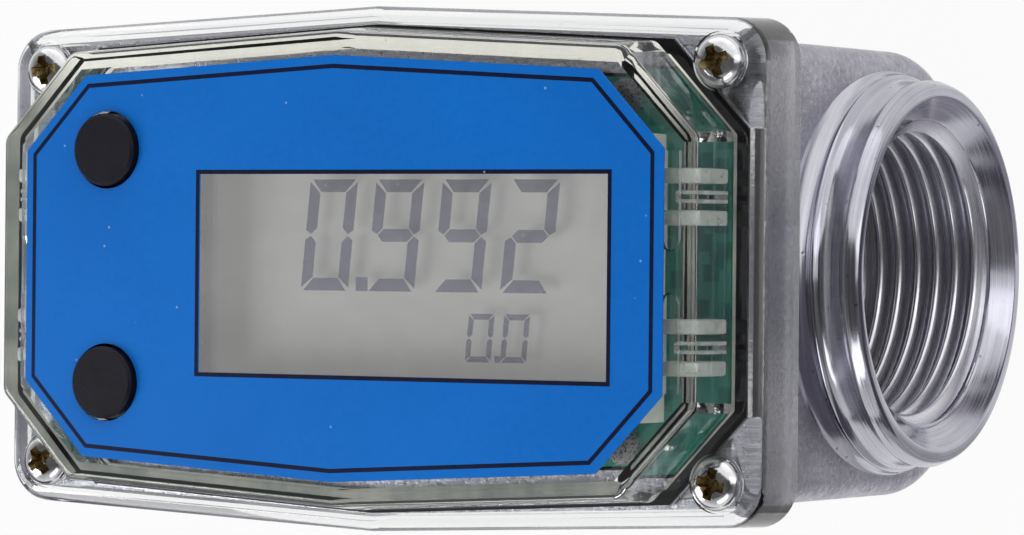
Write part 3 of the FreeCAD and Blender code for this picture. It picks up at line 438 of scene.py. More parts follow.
# %% [markdown]
# The body is a pressure die casting: matt, a little lavender, with faint stains and dark pits.
# Its bore is turned bright on a lathe, and the seat under the cover is milled.  One material does
# all three, because they are one piece of metal: the distance from the bore's axis tells the
# turned part, and the height tells the seat.

# %% Finish: cast and machined aluminium
BORE_TURNED = 19.0 * MM
BORE_START = 12 * MM
SEAT_HEIGHT = 53.22 * MM
SEAT_EDGE = 0.04 * MM

cast_metal, tree, shader = new_finish("cast_aluminium_finish")
stain = pattern(tree, mottling, Size=0.009)
fine = pattern(tree, mottling, Size=0.0007, Detail=5.0)
pits = pattern(tree, specks, Size=0.0006, Share=0.05)
scratch = pattern(tree, hairlines, Size=0.006, Width=0.02)
marks = use_group(tree, lathe, Pitch=0.00016)
rings = marks.outputs["Value"]
machined = times(tree, rescale(tree, marks.outputs["Radius"], BORE_TURNED + 0.3 * MM, BORE_TURNED),
                 rescale(tree, marks.outputs["Along"], BORE_START, BORE_START + 1 * MM))
seat_zone = rescale(tree, parts_of(tree, object_point(tree))[2], SEAT_HEIGHT - SEAT_EDGE,
                    SEAT_HEIGHT + SEAT_EDGE)
cast_colour = blend_colour(tree, stain, paint(150, 149, 161), paint(188, 187, 198))
cast_colour = blend_colour(tree, times(tree, fine, 0.45), cast_colour, paint(112, 110, 122))
seat_colour = blend_colour(tree, scratch, paint(176, 176, 186), paint(222, 222, 230))
turned_colour = blend_colour(tree, rings, paint(196, 196, 206), paint(228, 228, 234))
colour = blend_colour(tree, seat_zone, cast_colour, seat_colour)
colour = blend_colour(tree, machined, colour, turned_colour)
colour = blend_colour(tree, times(tree, pits, 0.7), colour, paint(70, 68, 74))
rough = blend_number(tree, machined, spread(tree, fine, 0.22, 0.38),
                     spread(tree, rings, 0.16, 0.30))
height = blend_number(tree, machined, calc(tree, "SUBTRACT", fine, times(tree, pits, 1.5)),
                      times(tree, rings, 0.35))
fill(tree, shader, Base_Color=colour, Metallic=spread(tree, machined, 0.86, 1.0),
     Roughness=rough, Normal=bump(tree, height, 0.06 * MM, 0.6))
print("finish", cast_metal.name)

# %% [markdown]
# The cover is moulded in clear polycarbonate.  Refraction does most of the work: walls turn bright
# where they carry the pale floor and dark where they carry the gasket.  The skirt round its edge
# is frosted by the mould, so it gets a fine grain and a duller surface.  Lamps can't shine
# through a refracting shader, so for shadow rays it is swapped for a plain transparent one.

# %% Finish: clear plastic
SKIRT_START_X = 47.0 * MM
SKIRT_START_Y = 27.8 * MM
SKIRT_TOP = 55.3 * MM
FROST_EDGE = 0.4 * MM


def clear_finish(name, colour, index, roughness):
    """A clear plastic with a few dust specks and hairlines, frosted at the cover's skirt."""
    made, tree, shader = new_finish(name)
    dust = pattern(tree, specks, Size=0.0009, Share=0.05)
    scratch = pattern(tree, hairlines, Size=0.012, Width=0.012)
    wear = larger(tree, dust, times(tree, scratch, 0.5))
    x, y, z = parts_of(tree, object_point(tree))
    along = calc(tree, "ABSOLUTE", x)
    across = calc(tree, "ABSOLUTE", y)
    frost = larger(tree, rescale(tree, along, SKIRT_START_X, SKIRT_START_X + FROST_EDGE),
                   rescale(tree, across, SKIRT_START_Y, SKIRT_START_Y + FROST_EDGE))
    frost = times(tree, frost, rescale(tree, z, SKIRT_TOP + 0.3 * MM, SKIRT_TOP))
    matt = larger(tree, wear, times(tree, frost, 0.8))
    ripple = pattern(tree, mottling, Size=0.008, Detail=1.0)
    grain = pattern(tree, mottling, Size=0.0005, Detail=2.0)
    height = calc(tree, "ADD", ripple, times(tree, grain, frost))
    fill(tree, shader, Base_Color=colour, IOR=index, Transmission_Weight=1.0,
         Roughness=spread(tree, matt, roughness, roughness + 0.25),
         Normal=bump(tree, height, 0.04 * MM, 0.5))
    for_shadows = add_node(tree, "ShaderNodeBsdfTransparent", Color=(0.97, 0.975, 0.97, 1))
    path = tree.nodes.new("ShaderNodeLightPath")
    join_to_surface(tree, path.outputs["Is Shadow Ray"], shader, for_shadows)
    return made


clear_plastic = clear_finish("clear_plastic", (0.965, 0.975, 0.968, 1), 1.58, 0.015)
display_clear = clear_finish("display_clear", (0.95, 0.95, 0.94, 1), 1.5, 0.02)
print("finishes", clear_plastic.name, "and", display_clear.name)

# %% [markdown]
# Moulded plastics and rubbers share one recipe: a base colour with slight clouding, a fine grain
# in the surface, and a roughness that drifts a little.  Metal parts use it too, with the shader
# set to metal.  The display's backing has a painted glow: a faint emission of its own, which lifts
# the shade in the display window.  Each finish goes straight onto its imported nodes, whose
# meshes are right as they are and stay untouched.

# %% Finish: moulded parts
def moulded_finish(name, colour, second, roughness, grain=0.0003, depth=0.01 * MM, **more):
    """Two near colours, a fine grain and a plain roughness; more goes to the shader as it is."""
    made, tree, shader = new_finish(name)
    cloud = pattern(tree, mottling, Size=0.003)
    fine = pattern(tree, mottling, Size=grain, Detail=2.0)
    fill(tree, shader, Base_Color=blend_colour(tree, cloud, paint(*colour), paint(*second)),
         Roughness=spread(tree, fine, roughness - 0.06, roughness + 0.08),
         Normal=bump(tree, fine, depth, 0.7), **more)
    return made


def dress(finish, names):
    """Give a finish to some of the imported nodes."""
    for name in names.split():
        nodes[name].data.materials[0] = finish


PLASTICS = (
    ("gasket_rubber", (26, 25, 30), (38, 36, 42), 0.5, "cover_gasket"),
    ("tray_plastic", (30, 30, 32), (42, 42, 44), 0.45,
     "push_switches upper_plunger lower_plunger controller_chip battery_tray pickup_sensor"),
    ("carrier_plastic", (206, 206, 200), (222, 222, 216), 0.4, "display_frame"),
    ("strip_rubber", (46, 46, 50), (90, 60, 60), 0.6, "contact_strips"),
    ("capacitor_case", (196, 150, 60), (210, 168, 80), 0.4, "capacitors"),
    ("cell_wrap", (60, 66, 74), (84, 90, 98), 0.3, "batteries"),
    ("support_plastic", (228, 226, 218), (238, 236, 230), 0.38, "outlet_support inlet_support"),
    ("rotor_plastic_finish", (40, 52, 66), (52, 66, 82), 0.4, "turbine_rotor"),
)
METALS = (
    ("bright_steel_finish", (190, 190, 192), (214, 214, 216), 0.28, "board_screws crystal "
     "battery_contacts rotor_shaft rotor_magnets retaining_rings cover_screws"),
    ("copper", (200, 130, 90), (215, 150, 110), 0.3, "sensor_leads"),
    ("bushing_bronze_finish", (176, 134, 84), (196, 152, 100), 0.35, "shaft_bushings"),
)
for table, metallic in ((PLASTICS, 0.0), (METALS, 1.0)):
    for name, colour, second, roughness, names in table:
        dress(moulded_finish(name, colour, second, roughness, Metallic=metallic), names)
dress(moulded_finish("button_cap", (14, 14, 24), (20, 20, 34), 0.44, 0.0002,
                     Specular_IOR_Level=0.2), "upper_button lower_button")
# painted glow: the display's backing emits a faint light of its own, which lifts the shade in the
# window
dress(moulded_finish("display_backing_painted_glow", (190, 189, 190), (198, 197, 197), 0.6, 0.0004,
                     0.004 * MM, Emission_Color=paint(196, 196, 196), Emission_Strength=0.21),
      "display_reflector")
print("finishes so far:", len(bpy.data.materials))

# %% [markdown]
# The face label is blue ink under a satin film.  Ink on film has a slight orange peel and a few
# dust specks, most near its edges; here the specks fall anywhere on it.

# %% Finish: label ink
def ink_finish(name, colour, second):
    """Printed ink under a satin film."""
    made, tree, shader = new_finish(name)
    cloud = pattern(tree, mottling, Size=0.02, Detail=2.0)
    dust = pattern(tree, specks, Size=0.0006, Share=0.006)
    peel = pattern(tree, mottling, Size=0.0006, Detail=2.0)
    base = blend_colour(tree, cloud, colour, second)
    fill(tree, shader, Specular_IOR_Level=0.2,
         Base_Color=blend_colour(tree, times(tree, dust, 0.6), base, paint(170, 205, 235)),
         Roughness=spread(tree, peel, 0.34, 0.46), Normal=bump(tree, peel, 0.006 * MM, 0.5))
    return made


label_ink = ink_finish("label_ink", paint(0, 110, 206), paint(0, 116, 214))
line_ink = ink_finish("line_ink", paint(4, 10, 44), paint(8, 16, 56))
print("finishes", label_ink.name, "and", line_ink.name)

# %% [markdown]
# The circuit board is green solder mask over copper.  The tracks are barely raised lines, drawn
# here by the edges between large square cells.  With it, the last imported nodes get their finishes.

# %% Finish: circuit board
board_finish, tree, shader = new_finish("board_mask")
cells = add_node(tree, "ShaderNodeTexVoronoi", Vector=object_point(tree), Scale=420.0)
cells.distance = "CHEBYCHEV"
cells.feature = "F1"
track = rescale(tree, cells.outputs["Distance"], 0.36, 0.40)
cloud = pattern(tree, mottling, Size=0.006)
mask = blend_colour(tree, cloud, paint(16, 84, 74), paint(28, 104, 92))
fill(tree, shader, Roughness=0.32, Normal=bump(tree, track, 0.03 * MM, 0.5),
     Base_Color=blend_colour(tree, times(tree, track, 0.5), mask, paint(60, 134, 118)))
dress(board_finish, "circuit_board")
dress(cast_metal, "meter_body")
dress(clear_plastic, "clear_cover")
dress(display_clear, "display_glass")
dress(label_ink, "face_label")
print("dressed all", len(nodes), "nodes")

# %% [markdown]
# New pieces all end the same way: the bmesh becomes an object, its faces are shaded smooth except
# across sharp corners, and it rides on a body of the frame.

# %% Piece helpers
def finish_piece(name, shape, finishes, body="housing", sharp=32):
    """Turn a bmesh into a named piece that rides on a body."""
    made = new_object(name, shape, finishes)
    made.data.shade_smooth()
    made.data.set_sharp_from_angle(angle=math.radians(sharp))
    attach(made, body)
    return made


def move(shape, x, y, z):
    """Move a whole shape."""
    bmesh.ops.translate(shape, verts=shape.verts, vec=(x, y, z))


def face_outwards(shape):
    """Point every face of a closed shape outwards."""
    bmesh.ops.recalc_face_normals(shape, faces=shape.faces)


def open_wire(shape, places):
    """Vertices at some places, joined in a row by edges."""
    line = [shape.verts.new(place) for place in places]
    return line, [shape.edges.new(pair) for pair in zip(line, line[1:])]


def spin_full_turn(shape, axis, steps):
    """Spin a wire once round an axis through the origin, and close the seam."""
    bmesh.ops.spin(shape, geom=shape.verts[:] + shape.edges[:], cent=(0, 0, 0), axis=axis,
                   angle=2 * math.pi, steps=steps, use_merge=True)
    bmesh.ops.remove_doubles(shape, verts=shape.verts, dist=1e-7)
    face_outwards(shape)


def carve(target, cutter):
    """Cut one mesh object out of another, for good."""
    cut = target.modifiers.new("cut", "BOOLEAN")
    cut.operation = "DIFFERENCE"
    cut.solver = "EXACT"
    cut.object = cutter
    view = bpy.context.evaluated_depsgraph_get()
    result = bpy.data.meshes.new_from_object(target.evaluated_get(view))
    target.modifiers.clear()
    old = target.data
    target.data = result
    result.name = target.name
    bpy.data.meshes.remove(old)
    bpy.data.objects.remove(cutter)


print("piece helpers ready")

# %% [markdown]
# A port is the part of the casting that a lathe has cut: a rounded bead at its root, a neck, the
# collar with its rolled edge, the flat end and the cone that guides a pipe in.  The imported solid
# has these as plain steps.  So that they can be spun again as smooth forms, a copy of the casting
# is first cut off flush with the block's ends.

# %% Casting without its ports
PORT_LENGTH = 6.0 * MM
mouth_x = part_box("meter_body")[1].x
block_end = mouth_x - PORT_LENGTH
cut_place = block_end + 0.03 * MM
casting = bmesh.new()
casting.from_mesh(nodes["meter_body"].data)
bmesh.ops.remove_doubles(casting, verts=casting.verts, dist=1e-6)
for side in (1, -1):
    everything = casting.verts[:] + casting.edges[:] + casting.faces[:]
    bmesh.ops.bisect_plane(casting, geom=everything, plane_co=(side * cut_place, 0, 0),
                           plane_no=(side, 0, 0), clear_outer=True, dist=1e-7)
    rim = [edge for edge in casting.edges if edge.is_boundary and
           all(vert.co.x * side > block_end for vert in edge.verts)]
    bmesh.ops.bridge_loops(casting, edges=rim)
body_casting = finish_piece("body_casting", casting, [cast_metal], sharp=30)
even = body_casting.modifiers.new("even_shading", "WEIGHTED_NORMAL")
even.keep_sharp = True
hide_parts("meter_body")
print("casting", len(body_casting.data.polygons), "faces")

# %% [markdown]
# The turned metal of a port is brighter and smoother than the casting, with fine rings, a few
# nicks and slow stains.  Its root was blasted with the casting, so it is paler there.

# %% Finish: turned port
port_metal, tree, shader = new_finish("turned_port")
marks = use_group(tree, lathe, Pitch=0.00022)
rings = marks.outputs["Value"]
broad = pattern(tree, mottling, Size=0.006)
nicks = pattern(tree, specks, Size=0.0008, Share=0.06)
blasted = times(tree, rescale(tree, marks.outputs["Along"], 46.7 * MM, 46.4 * MM),
                rescale(tree, marks.outputs["Radius"], 21.9 * MM, 22.3 * MM, 0.0, 0.4))
colour = blend_colour(tree, rings, paint(172, 172, 184), paint(206, 206, 214))
colour = blend_colour(tree, times(tree, broad, 0.4), colour, paint(150, 149, 164))
colour = blend_colour(tree, blasted, colour, paint(240, 239, 248))
colour = blend_colour(tree, times(tree, nicks, 0.6), colour, paint(90, 88, 96))
height = calc(tree, "SUBTRACT", times(tree, rings, 0.3), nicks)
fill(tree, shader, Base_Color=colour, Metallic=1.0, Roughness=spread(tree, rings, 0.09, 0.22),
     Normal=bump(tree, height, 0.02 * MM, 0.5))
print("finish", port_metal.name)

# %% [markdown]
# A turned form is a half profile spun about its axis, which is what a lathe does.  Each point
# gives a distance from the axis and a place past the block's end, in millimetres.  The collar is
# one such ring.  The flare at its root is another, whose outer vertices are then drawn in to the
# block's outline, because a casting's flare runs out where the block ends.

# %% Turned ports
PORT_PROFILE = [(21.6, -0.4), (21.5, 0.50), (21.42, 0.74), (21.46, 0.86), (21.52, 0.98),
                (21.50, 1.14), (21.38, 1.30), (21.16, 1.46), (20.98, 1.62), (20.86, 1.90),
                (20.78, 2.35), (20.74, 3.10), (20.76, 3.80), (20.80, 4.20), (20.88, 4.46),
                (20.86, 4.74), (20.74, 5.00), (20.62, 5.25), (20.54, 5.48), (20.40, 5.72),
                (20.22, 5.90), (20.02, 5.98), (19.86, 6.00), (19.22, 6.00), (19.10, 5.97),
                (18.96, 5.86), (16.80, 4.16), (16.66, 4.02), (16.60, 3.90), (16.60, -0.4)]
FLARE_PROFILE = [(30.0, 0.02), (29.0, 0.05), (27.8, 0.16), (26.6, 0.38), (25.4, 0.72),
                 (24.6, 0.96), (24.0, 1.08), (23.4, 1.06), (22.8, 0.88), (22.2, 0.70),
                 (21.0, 0.62), (21.0, -0.4), (30.0, -0.4)]
SIDES = ((1, "outlet"), (-1, "inlet"))
FLARE_INNER = 21.0
FLARE_OUTER = 30.0
FLOW_STEPS = 128


def flow_ring(profile, side):
    """A closed half profile (distance from axis, place past the block's end) spun into a ring."""
    shape = bmesh.new()
    line = open_wire(shape, [(side * (block_end + along * MM), 0, far * MM)
                             for far, along in profile])[0]
    shape.edges.new((line[-1], line[0]))
    spin_full_turn(shape, (1, 0, 0), FLOW_STEPS)
    move(shape, 0, 0, AXIS_HEIGHT)
    return shape


def flare_limit(across, upwards):
    """How far the block lets the flare reach; across is 0 straight up and 1 straight sideways."""
    if upwards:
        return 25.6 - 3.7 * across ** 2
    return 21.6 + 0.3 * across ** 2


def draw_flare_in(shape):
    """Draw a flare's outer vertices in, so that its rim lies on the block's outline."""
    for vert in shape.verts:
        tall = vert.co.z - AXIS_HEIGHT
        reach = math.hypot(vert.co.y, tall)
        if reach > FLARE_INNER * MM:
            limit = flare_limit(abs(vert.co.y) / reach, tall > 0)
            slope = (limit - FLARE_INNER) / (FLARE_OUTER - FLARE_INNER)
            share = (FLARE_INNER * MM + (reach - FLARE_INNER * MM) * slope) / reach
            vert.co.y *= share
            vert.co.z = AXIS_HEIGHT + tall * share


for side, label in SIDES:
    collar = finish_piece(label + "_collar", flow_ring(PORT_PROFILE, side), [port_metal],
                          sharp=40)
    flare_shape = flow_ring(FLARE_PROFILE, side)
    draw_flare_in(flare_shape)
    flare = finish_piece(label + "_flare", flare_shape, [port_metal], sharp=50)
    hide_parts("meter_body")
    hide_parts("meter_body")
    print(label, len(collar.data.polygons), "and", len(flare.data.polygons), "faces")

# %% [markdown]
# The ports carry a straight pipe thread.  One ridge profile is spun about the port's axis while it
# moves along it, which is what a tap does.  Where the mouth's cone opens, the crests are cut back,
# so the ridge fades out as it does on a chased thread.

# %% Finish: thread, with painted crest highlights
PORT_RADIUS = 16.6 * MM
thread_finish, tree, shader = new_finish("thread_metal_painted_crests")
marks = use_group(tree, lathe, Pitch=0.0001)
# painted highlight: the crests are painted paler than the roots, as their glint
painted_highlight_fade = rescale(tree, marks.outputs["Radius"], PORT_RADIUS - 1 * MM, PORT_RADIUS)
fill(tree, shader, Metallic=1.0,
     Base_Color=blend_colour(tree, painted_highlight_fade, paint(226, 226, 232), paint(188, 187, 198)),
     Roughness=spread(tree, marks.outputs["Value"], 0.22, 0.36),
     Normal=bump(tree, marks.outputs["Value"], 0.006 * MM, 0.4))
print("finish", thread_finish.name)

# %% [markdown]
# The ridge's profile is the same on both flanks, so only one flank is written down: the place
# along the axis and the distance from it, in millimetres.

# %% Port threads
THREAD_PITCH = 2.309 * MM
THREAD_TURNS = 6.4
TURN_STEPS = 72
THREAD_LENGTH = 14.1 * MM
CONE_DEPTH = 2.0 * MM
CONE_SLOPE = 1.25
CREST = (0.0, 15.25)
FLANK = [(0.18, 15.32), (0.34, 15.56), (0.62, 16.10), (0.92, 16.54), (1.14, 16.68)]
RIDGE = [(-along, far) for along, far in reversed(FLANK)] + [CREST] + FLANK
cone_start = mouth_x - CONE_DEPTH


def cut_crests_back(shape):
    """Move the vertices that would stand in the mouth's cone out to its wall."""
    for vert in shape.verts:
        reach = math.hypot(vert.co.y, vert.co.z)
        cone_radius = PORT_RADIUS + (vert.co.x - cone_start) * CONE_SLOPE
        if reach < cone_radius:
            grow = (cone_radius + 0.1 * MM) / reach
            vert.co.y *= grow
            vert.co.z *= grow


def thread_sleeve(side):
    """All turns of one port's thread; side is 1 for the outlet and -1 for the inlet."""
    shape = bmesh.new()
    start = cone_start - THREAD_LENGTH
    line, edges = open_wire(shape, [(start + along * MM, 0, far * MM) for along, far in RIDGE])
    edges.append(shape.edges.new((line[-1], line[0])))
    cap = shape.faces.new(line)
    bmesh.ops.spin(shape, geom=line + edges + [cap], cent=(0, 0, 0), axis=(1, 0, 0),
                   dvec=(THREAD_PITCH / TURN_STEPS, 0, 0), angle=2 * math.pi * THREAD_TURNS,
                   steps=int(THREAD_TURNS * TURN_STEPS))
    cut_crests_back(shape)
    move(shape, 0, 0, AXIS_HEIGHT)
    if side < 0:
        bmesh.ops.scale(shape, verts=shape.verts, vec=(-1, 1, 1))
    face_outwards(shape)
    return shape


for side, label in SIDES:
    thread = finish_piece(label + "_thread", thread_sleeve(side), [thread_finish],
                          sharp=50)
    print(thread.name, len(thread.data.polygons), "faces")

# %% [markdown]
# The cover screws are plated pan heads with a cross recess.  The head is a spun profile; the
# recess is cut by a tapered cross, so that its walls lean as a driver's bit does.  The cut faces
# of the recess take a second finish, darker and yellower than the plating.

# %% Finish: screws
def plated_finish(name, size, dull, bright, smooth, rough, depth, strength):
    """Plated metal whose stains, of one size, change its colour, gloss and height together."""
    made, tree, shader = new_finish(name)
    cloud = pattern(tree, mottling, Size=size)
    fill(tree, shader, Metallic=1.0, Base_Color=blend_colour(tree, cloud, dull, bright),
         Roughness=spread(tree, cloud, smooth, rough), Normal=bump(tree, cloud, depth, strength))
    return made


chrome = plated_finish("screw_chrome", 0.0012, paint(205, 205, 208), paint(236, 236, 238),
                       0.10, 0.20, 0.01 * MM, 0.5)
# the recess faces are darker and yellower than the plating
darker_recess_finish = plated_finish("screw_recess", 0.0006, paint(96, 82, 54), paint(196, 178, 132),
                      0.22, 0.42, 0.03 * MM, 0.7)
print("finishes", chrome.name, "and", darker_recess_finish.name)

# %% [markdown]
# Each screw is made at the origin and moved to its corner.  Each is turned differently, as
# driven screws are.

# %% Cover screws
HEAD_RADIUS = 2.8
HEAD_HEIGHT = 2.0
SHANK_RADIUS = 1.4
SHANK_LENGTH = 9.4
HEAD_PROFILE = [(0, -SHANK_LENGTH), (1.0, -SHANK_LENGTH), (SHANK_RADIUS, 0.8 - SHANK_LENGTH),
                (SHANK_RADIUS, 0), (2.66, 0), (2.78, 0.12), (HEAD_RADIUS, 0.62), (2.68, 1.02),
                (2.40, 1.42), (1.95, 1.74), (1.35, 1.94), (0.6, HEAD_HEIGHT), (0, HEAD_HEIGHT)]
HEAD_STEPS = 64
RECESS_DEPTH = 2.4 * MM
ARM_SIZE = (4.7 * MM, 1.35 * MM, RECESS_DEPTH)
ARM_TAPER = (0.36, 0.55)
ARM_PLACE = 1.8 * MM
CORE_RADII = (0.3 * MM, 1.45 * MM)
CORE_PLACE = 1.6 * MM

screw_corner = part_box("cover_screws")[1]
head_low = screw_corner.z - HEAD_HEIGHT * MM
screw_x = screw_corner.x - HEAD_RADIUS * MM
screw_y = screw_corner.y - HEAD_RADIUS * MM


def plain_object(name, shape, slot_index):
    """A helper object for a cut; all its faces take one of the screw's two finishes."""
    for face in shape.faces:
        face.material_index = slot_index
    return new_object(name, shape, [chrome, darker_recess_finish])


def turn_upright(shape, degrees):
    """Turn a whole shape about the upright axis."""
    bmesh.ops.rotate(shape, verts=shape.verts, cent=(0, 0, 0),
                     matrix=Matrix.Rotation(math.radians(degrees), 3, "Z"))


def recess_bar(degrees):
    """One arm pair of the cross: a block that narrows downwards."""
    shape = bmesh.new()
    block = bmesh.ops.create_cube(shape, size=1.0)["verts"]
    bmesh.ops.scale(shape, verts=block, vec=ARM_SIZE)
    for vert in block:
        if vert.co.z < 0:
            vert.co.x *= ARM_TAPER[0]
            vert.co.y *= ARM_TAPER[1]
    turn_upright(shape, degrees)
    move(shape, 0, 0, ARM_PLACE)
    return shape


def recess_core():
    """The pointed middle of the recess, where the four arms meet."""
    shape = bmesh.new()
    bmesh.ops.create_cone(shape, cap_ends=True, segments=20, radius1=CORE_RADII[0],
                          radius2=CORE_RADII[1], depth=RECESS_DEPTH)
    move(shape, 0, 0, CORE_PLACE)
    return shape


def screw_head(degrees):
    """One finished screw at the origin: shank, washer edge, crown and recess."""
    shape = bmesh.new()
    open_wire(shape, [(far * MM, 0, tall * MM) for far, tall in HEAD_PROFILE])
    spin_full_turn(shape, (0, 0, 1), HEAD_STEPS)
    head = plain_object("head", shape, 0)
    for cutter_shape in (recess_bar(0), recess_bar(90), recess_core()):
        carve(head, plain_object("cutter", cutter_shape, 1))
    result = bmesh.new()
    result.from_mesh(head.data)
    bpy.data.objects.remove(head)
    turn_upright(result, degrees)
    return result


SCREWS = [(1, 1, 20), (1, -1, -14), (-1, 1, 8), (-1, -1, 35)]
for index, (side, rise, degrees) in enumerate(SCREWS):
    shape = screw_head(degrees)
    move(shape, side * screw_x, rise * screw_y, head_low)
    screw = finish_piece("cover_screw_%d" % (index + 1), shape, [chrome, darker_recess_finish],
                         sharp=28)
    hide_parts("cover_screws")
    print(screw.name, len(screw.data.polygons), "faces")

# %% [markdown]
# The printed lines on the label are ink, a few hundredths of a millimetre thick: a border that
# follows the ten-sided edge and a frame round the window.  Each is a flat ring that gets its
# thickness from solidify, laid just above the label's own surface.  The ten-sided outline is
# worked out from the label's box, the angle and distance of its slanted sides, and the slight
# slope of its long sides.

# %% Printed lines
LABEL_SLANT = math.radians(43.5)
SLANT_REACH = 37.548 * MM
ROOF_SLOPE = 0.0575
INK = 0.012 * MM
BORDER_OUTER = 0.95 * MM
BORDER_INNER = 1.40 * MM
BORDER_SHIFT = -0.15 * MM
WINDOW_INK = 0.45 * MM

label_low, label_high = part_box("face_label")
WINDOW_LEFT = label_low.x + 22.8 * MM
WINDOW_RIGHT = label_high.x - 6.5 * MM
WINDOW_BOTTOM = label_low.y + 11.3 * MM
WINDOW_TOP = label_high.y - 12.6 * MM


def ten_sides(inset, roof_inset=None):
    """Corners of the label's outline, moved inwards; the long sides may move differently."""
    side = label_high.x - inset
    along = SLANT_REACH - inset
    apex = label_high.y - (inset if roof_inset is None else roof_inset)
    corner_low = (along - math.cos(LABEL_SLANT) * side) / math.sin(LABEL_SLANT)
    run = ((along - math.sin(LABEL_SLANT) * apex)
           / (math.cos(LABEL_SLANT) - math.sin(LABEL_SLANT) * ROOF_SLOPE))
    quarter = [(side, corner_low), (run, apex - ROOF_SLOPE * run)]
    points = quarter + [(0, apex)] + [(-x, y) for x, y in reversed(quarter)]
    return points + [(x, -y) for x, y in reversed(points)]


def window_corners(grow):
    """Corners of the display window's outline, moved outwards."""
    left, right = WINDOW_LEFT - grow, WINDOW_RIGHT + grow
    bottom, top = WINDOW_BOTTOM - grow, WINDOW_TOP + grow
    return [(left, bottom), (right, bottom), (right, top), (left, top)]


def flat_ring(outer, inner, height, thickness):
    """A flat frame between two outlines with the same number of corners."""
    shape = bmesh.new()
    loops = []
    for points in (outer, inner):
        line = [shape.verts.new((x, y, height)) for x, y in points]
        loops.append([shape.edges.new((line[step - 1], line[step])) for step in range(len(line))])
    bmesh.ops.bridge_loops(shape, edges=loops[0] + loops[1])
    face_outwards(shape)
    bmesh.ops.solidify(shape, geom=shape.faces[:], thickness=thickness)
    face_outwards(shape)
    return shape


line_height = label_high.z + INK
border = flat_ring(ten_sides(BORDER_OUTER), ten_sides(BORDER_INNER), line_height, INK)
move(border, BORDER_SHIFT, 0, 0)
finish_piece("label_border", border, [line_ink])
window_line = flat_ring(window_corners(WINDOW_INK), window_corners(0.0), line_height, INK)
finish_piece("window_line", window_line, [line_ink])
window_wide = WINDOW_RIGHT - WINDOW_LEFT
window_tall = WINDOW_TOP - WINDOW_BOTTOM
print("window", round(window_wide / MM, 1), "by", round(window_tall / MM, 1), "mm")

# %% [markdown]
# Inside each short wall of the cover are two clips: a pair of arms with a notched rib between
# them.  A mould's ejector leaves their faces matt, so they look milky against the clear wall.
# Each is a few bevelled blocks that wrap the solid clip by a hair.

# %% Finish: milky clips
milky, tree, shader = new_finish("milky_clip")
cloud = pattern(tree, mottling, Size=0.0012, Detail=3.0)
fill(tree, shader, Transmission_Weight=0.6, IOR=1.2,
     Base_Color=blend_colour(tree, cloud, paint(214, 224, 216), paint(248, 250, 246)),
     Roughness=spread(tree, cloud, 0.25, 0.5), Normal=bump(tree, cloud, 0.15 * MM, 0.6))
print("finish", milky.name)

# %% [markdown]
# A bevelled block is a cube scaled and moved to its place before its edges are cut, so that the
# bevel is equally wide on every edge.  The left clips are the right ones mirrored.

# %% Milky clips
HAIR = 0.03 * MM
CLIP_DEPTH = 3.2 * MM
CLIP_HEIGHT = 5.6 * MM
CLIP_PLACE = 7.7 * MM
ARM_SHIFT = 2.15 * MM
ARM_HALF = 0.75 * MM
ARM_TOP_GAP = 0.02 * MM
ARM_BEVEL = 0.35 * MM
RIB_SHIFT = 0.45 * MM
RIB_HALF = 0.2 * MM
RIB_START = 1.4 * MM
RIB_TOP_GAP = 0.8 * MM
RIB_BEVEL = 0.1 * MM
clip_inner = label_high.x + 2.2 * MM - CLIP_DEPTH
clip_outer = clip_inner + CLIP_DEPTH
clip_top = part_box("clear_cover")[1].z - 2.0 * MM
clip_low = clip_top - CLIP_HEIGHT - HAIR


def add_block(shape, low, high, edge):
    """A bevelled block between two corners, added to a bmesh."""
    made = bmesh.ops.create_cube(shape, size=1.0)["verts"]
    bmesh.ops.scale(shape, verts=made, vec=Vector(high) - Vector(low))
    bmesh.ops.translate(shape, verts=made, vec=(Vector(low) + Vector(high)) / 2)
    edges = list({found for vert in made for found in vert.link_edges})
    bmesh.ops.bevel(shape, geom=edges, offset=edge, segments=2, profile=0.5, affect="EDGES",
                    material=-1)


def clip_pair():
    """Both clips of the right-hand wall: two arms each, with a slotted rib between them."""
    shape = bmesh.new()
    for middle in (CLIP_PLACE, -CLIP_PLACE):
        for y in (middle - ARM_SHIFT, middle + ARM_SHIFT):
            add_block(shape, (clip_inner - HAIR, y - ARM_HALF - HAIR, clip_low),
                      (clip_outer, y + ARM_HALF + HAIR, clip_top - ARM_TOP_GAP), ARM_BEVEL)
        for y in (middle - RIB_SHIFT, middle + RIB_SHIFT):
            add_block(shape, (clip_inner + RIB_START, y - RIB_HALF, clip_low),
                      (clip_outer, y + RIB_HALF, clip_top - RIB_TOP_GAP), RIB_BEVEL)
    return shape


right_clips = clip_pair()
finish_piece("milky_clips_right", right_clips, [milky])
left_clips = clip_pair()
bmesh.ops.scale(left_clips, verts=left_clips.verts, vec=(-1, 1, 1))
face_outwards(left_clips)
finish_piece("milky_clips_left", left_clips, [milky])
print("milky clips at x", round(clip_inner / MM, 1), "mm")

# %% [markdown]
# Light runs down inside the clear walls of the raised box and comes out at their feet, which the
# mould leaves matt, so the walls glow instead of showing the black gasket under them.  Here that
# glow is painted: a hair-thin ring inside the plastic, just above the gasket, emits light on the
# side of positive Y, towards the bright window, and none elsewhere.  Its outlines are the label's,
# moved outwards: less at the long sides than elsewhere.

# %% Matt foot of the box walls, with a painted glow
FOOT_OUTSIDE = (-4.0 * MM, -2.0 * MM)
FOOT_INSIDE = (-2.25 * MM, -1.2 * MM)
FOOT_RISE = 0.10 * MM
FOOT_THICK = 0.04 * MM
GLOW_START = 16 * MM
GLOW_FULL = 22 * MM

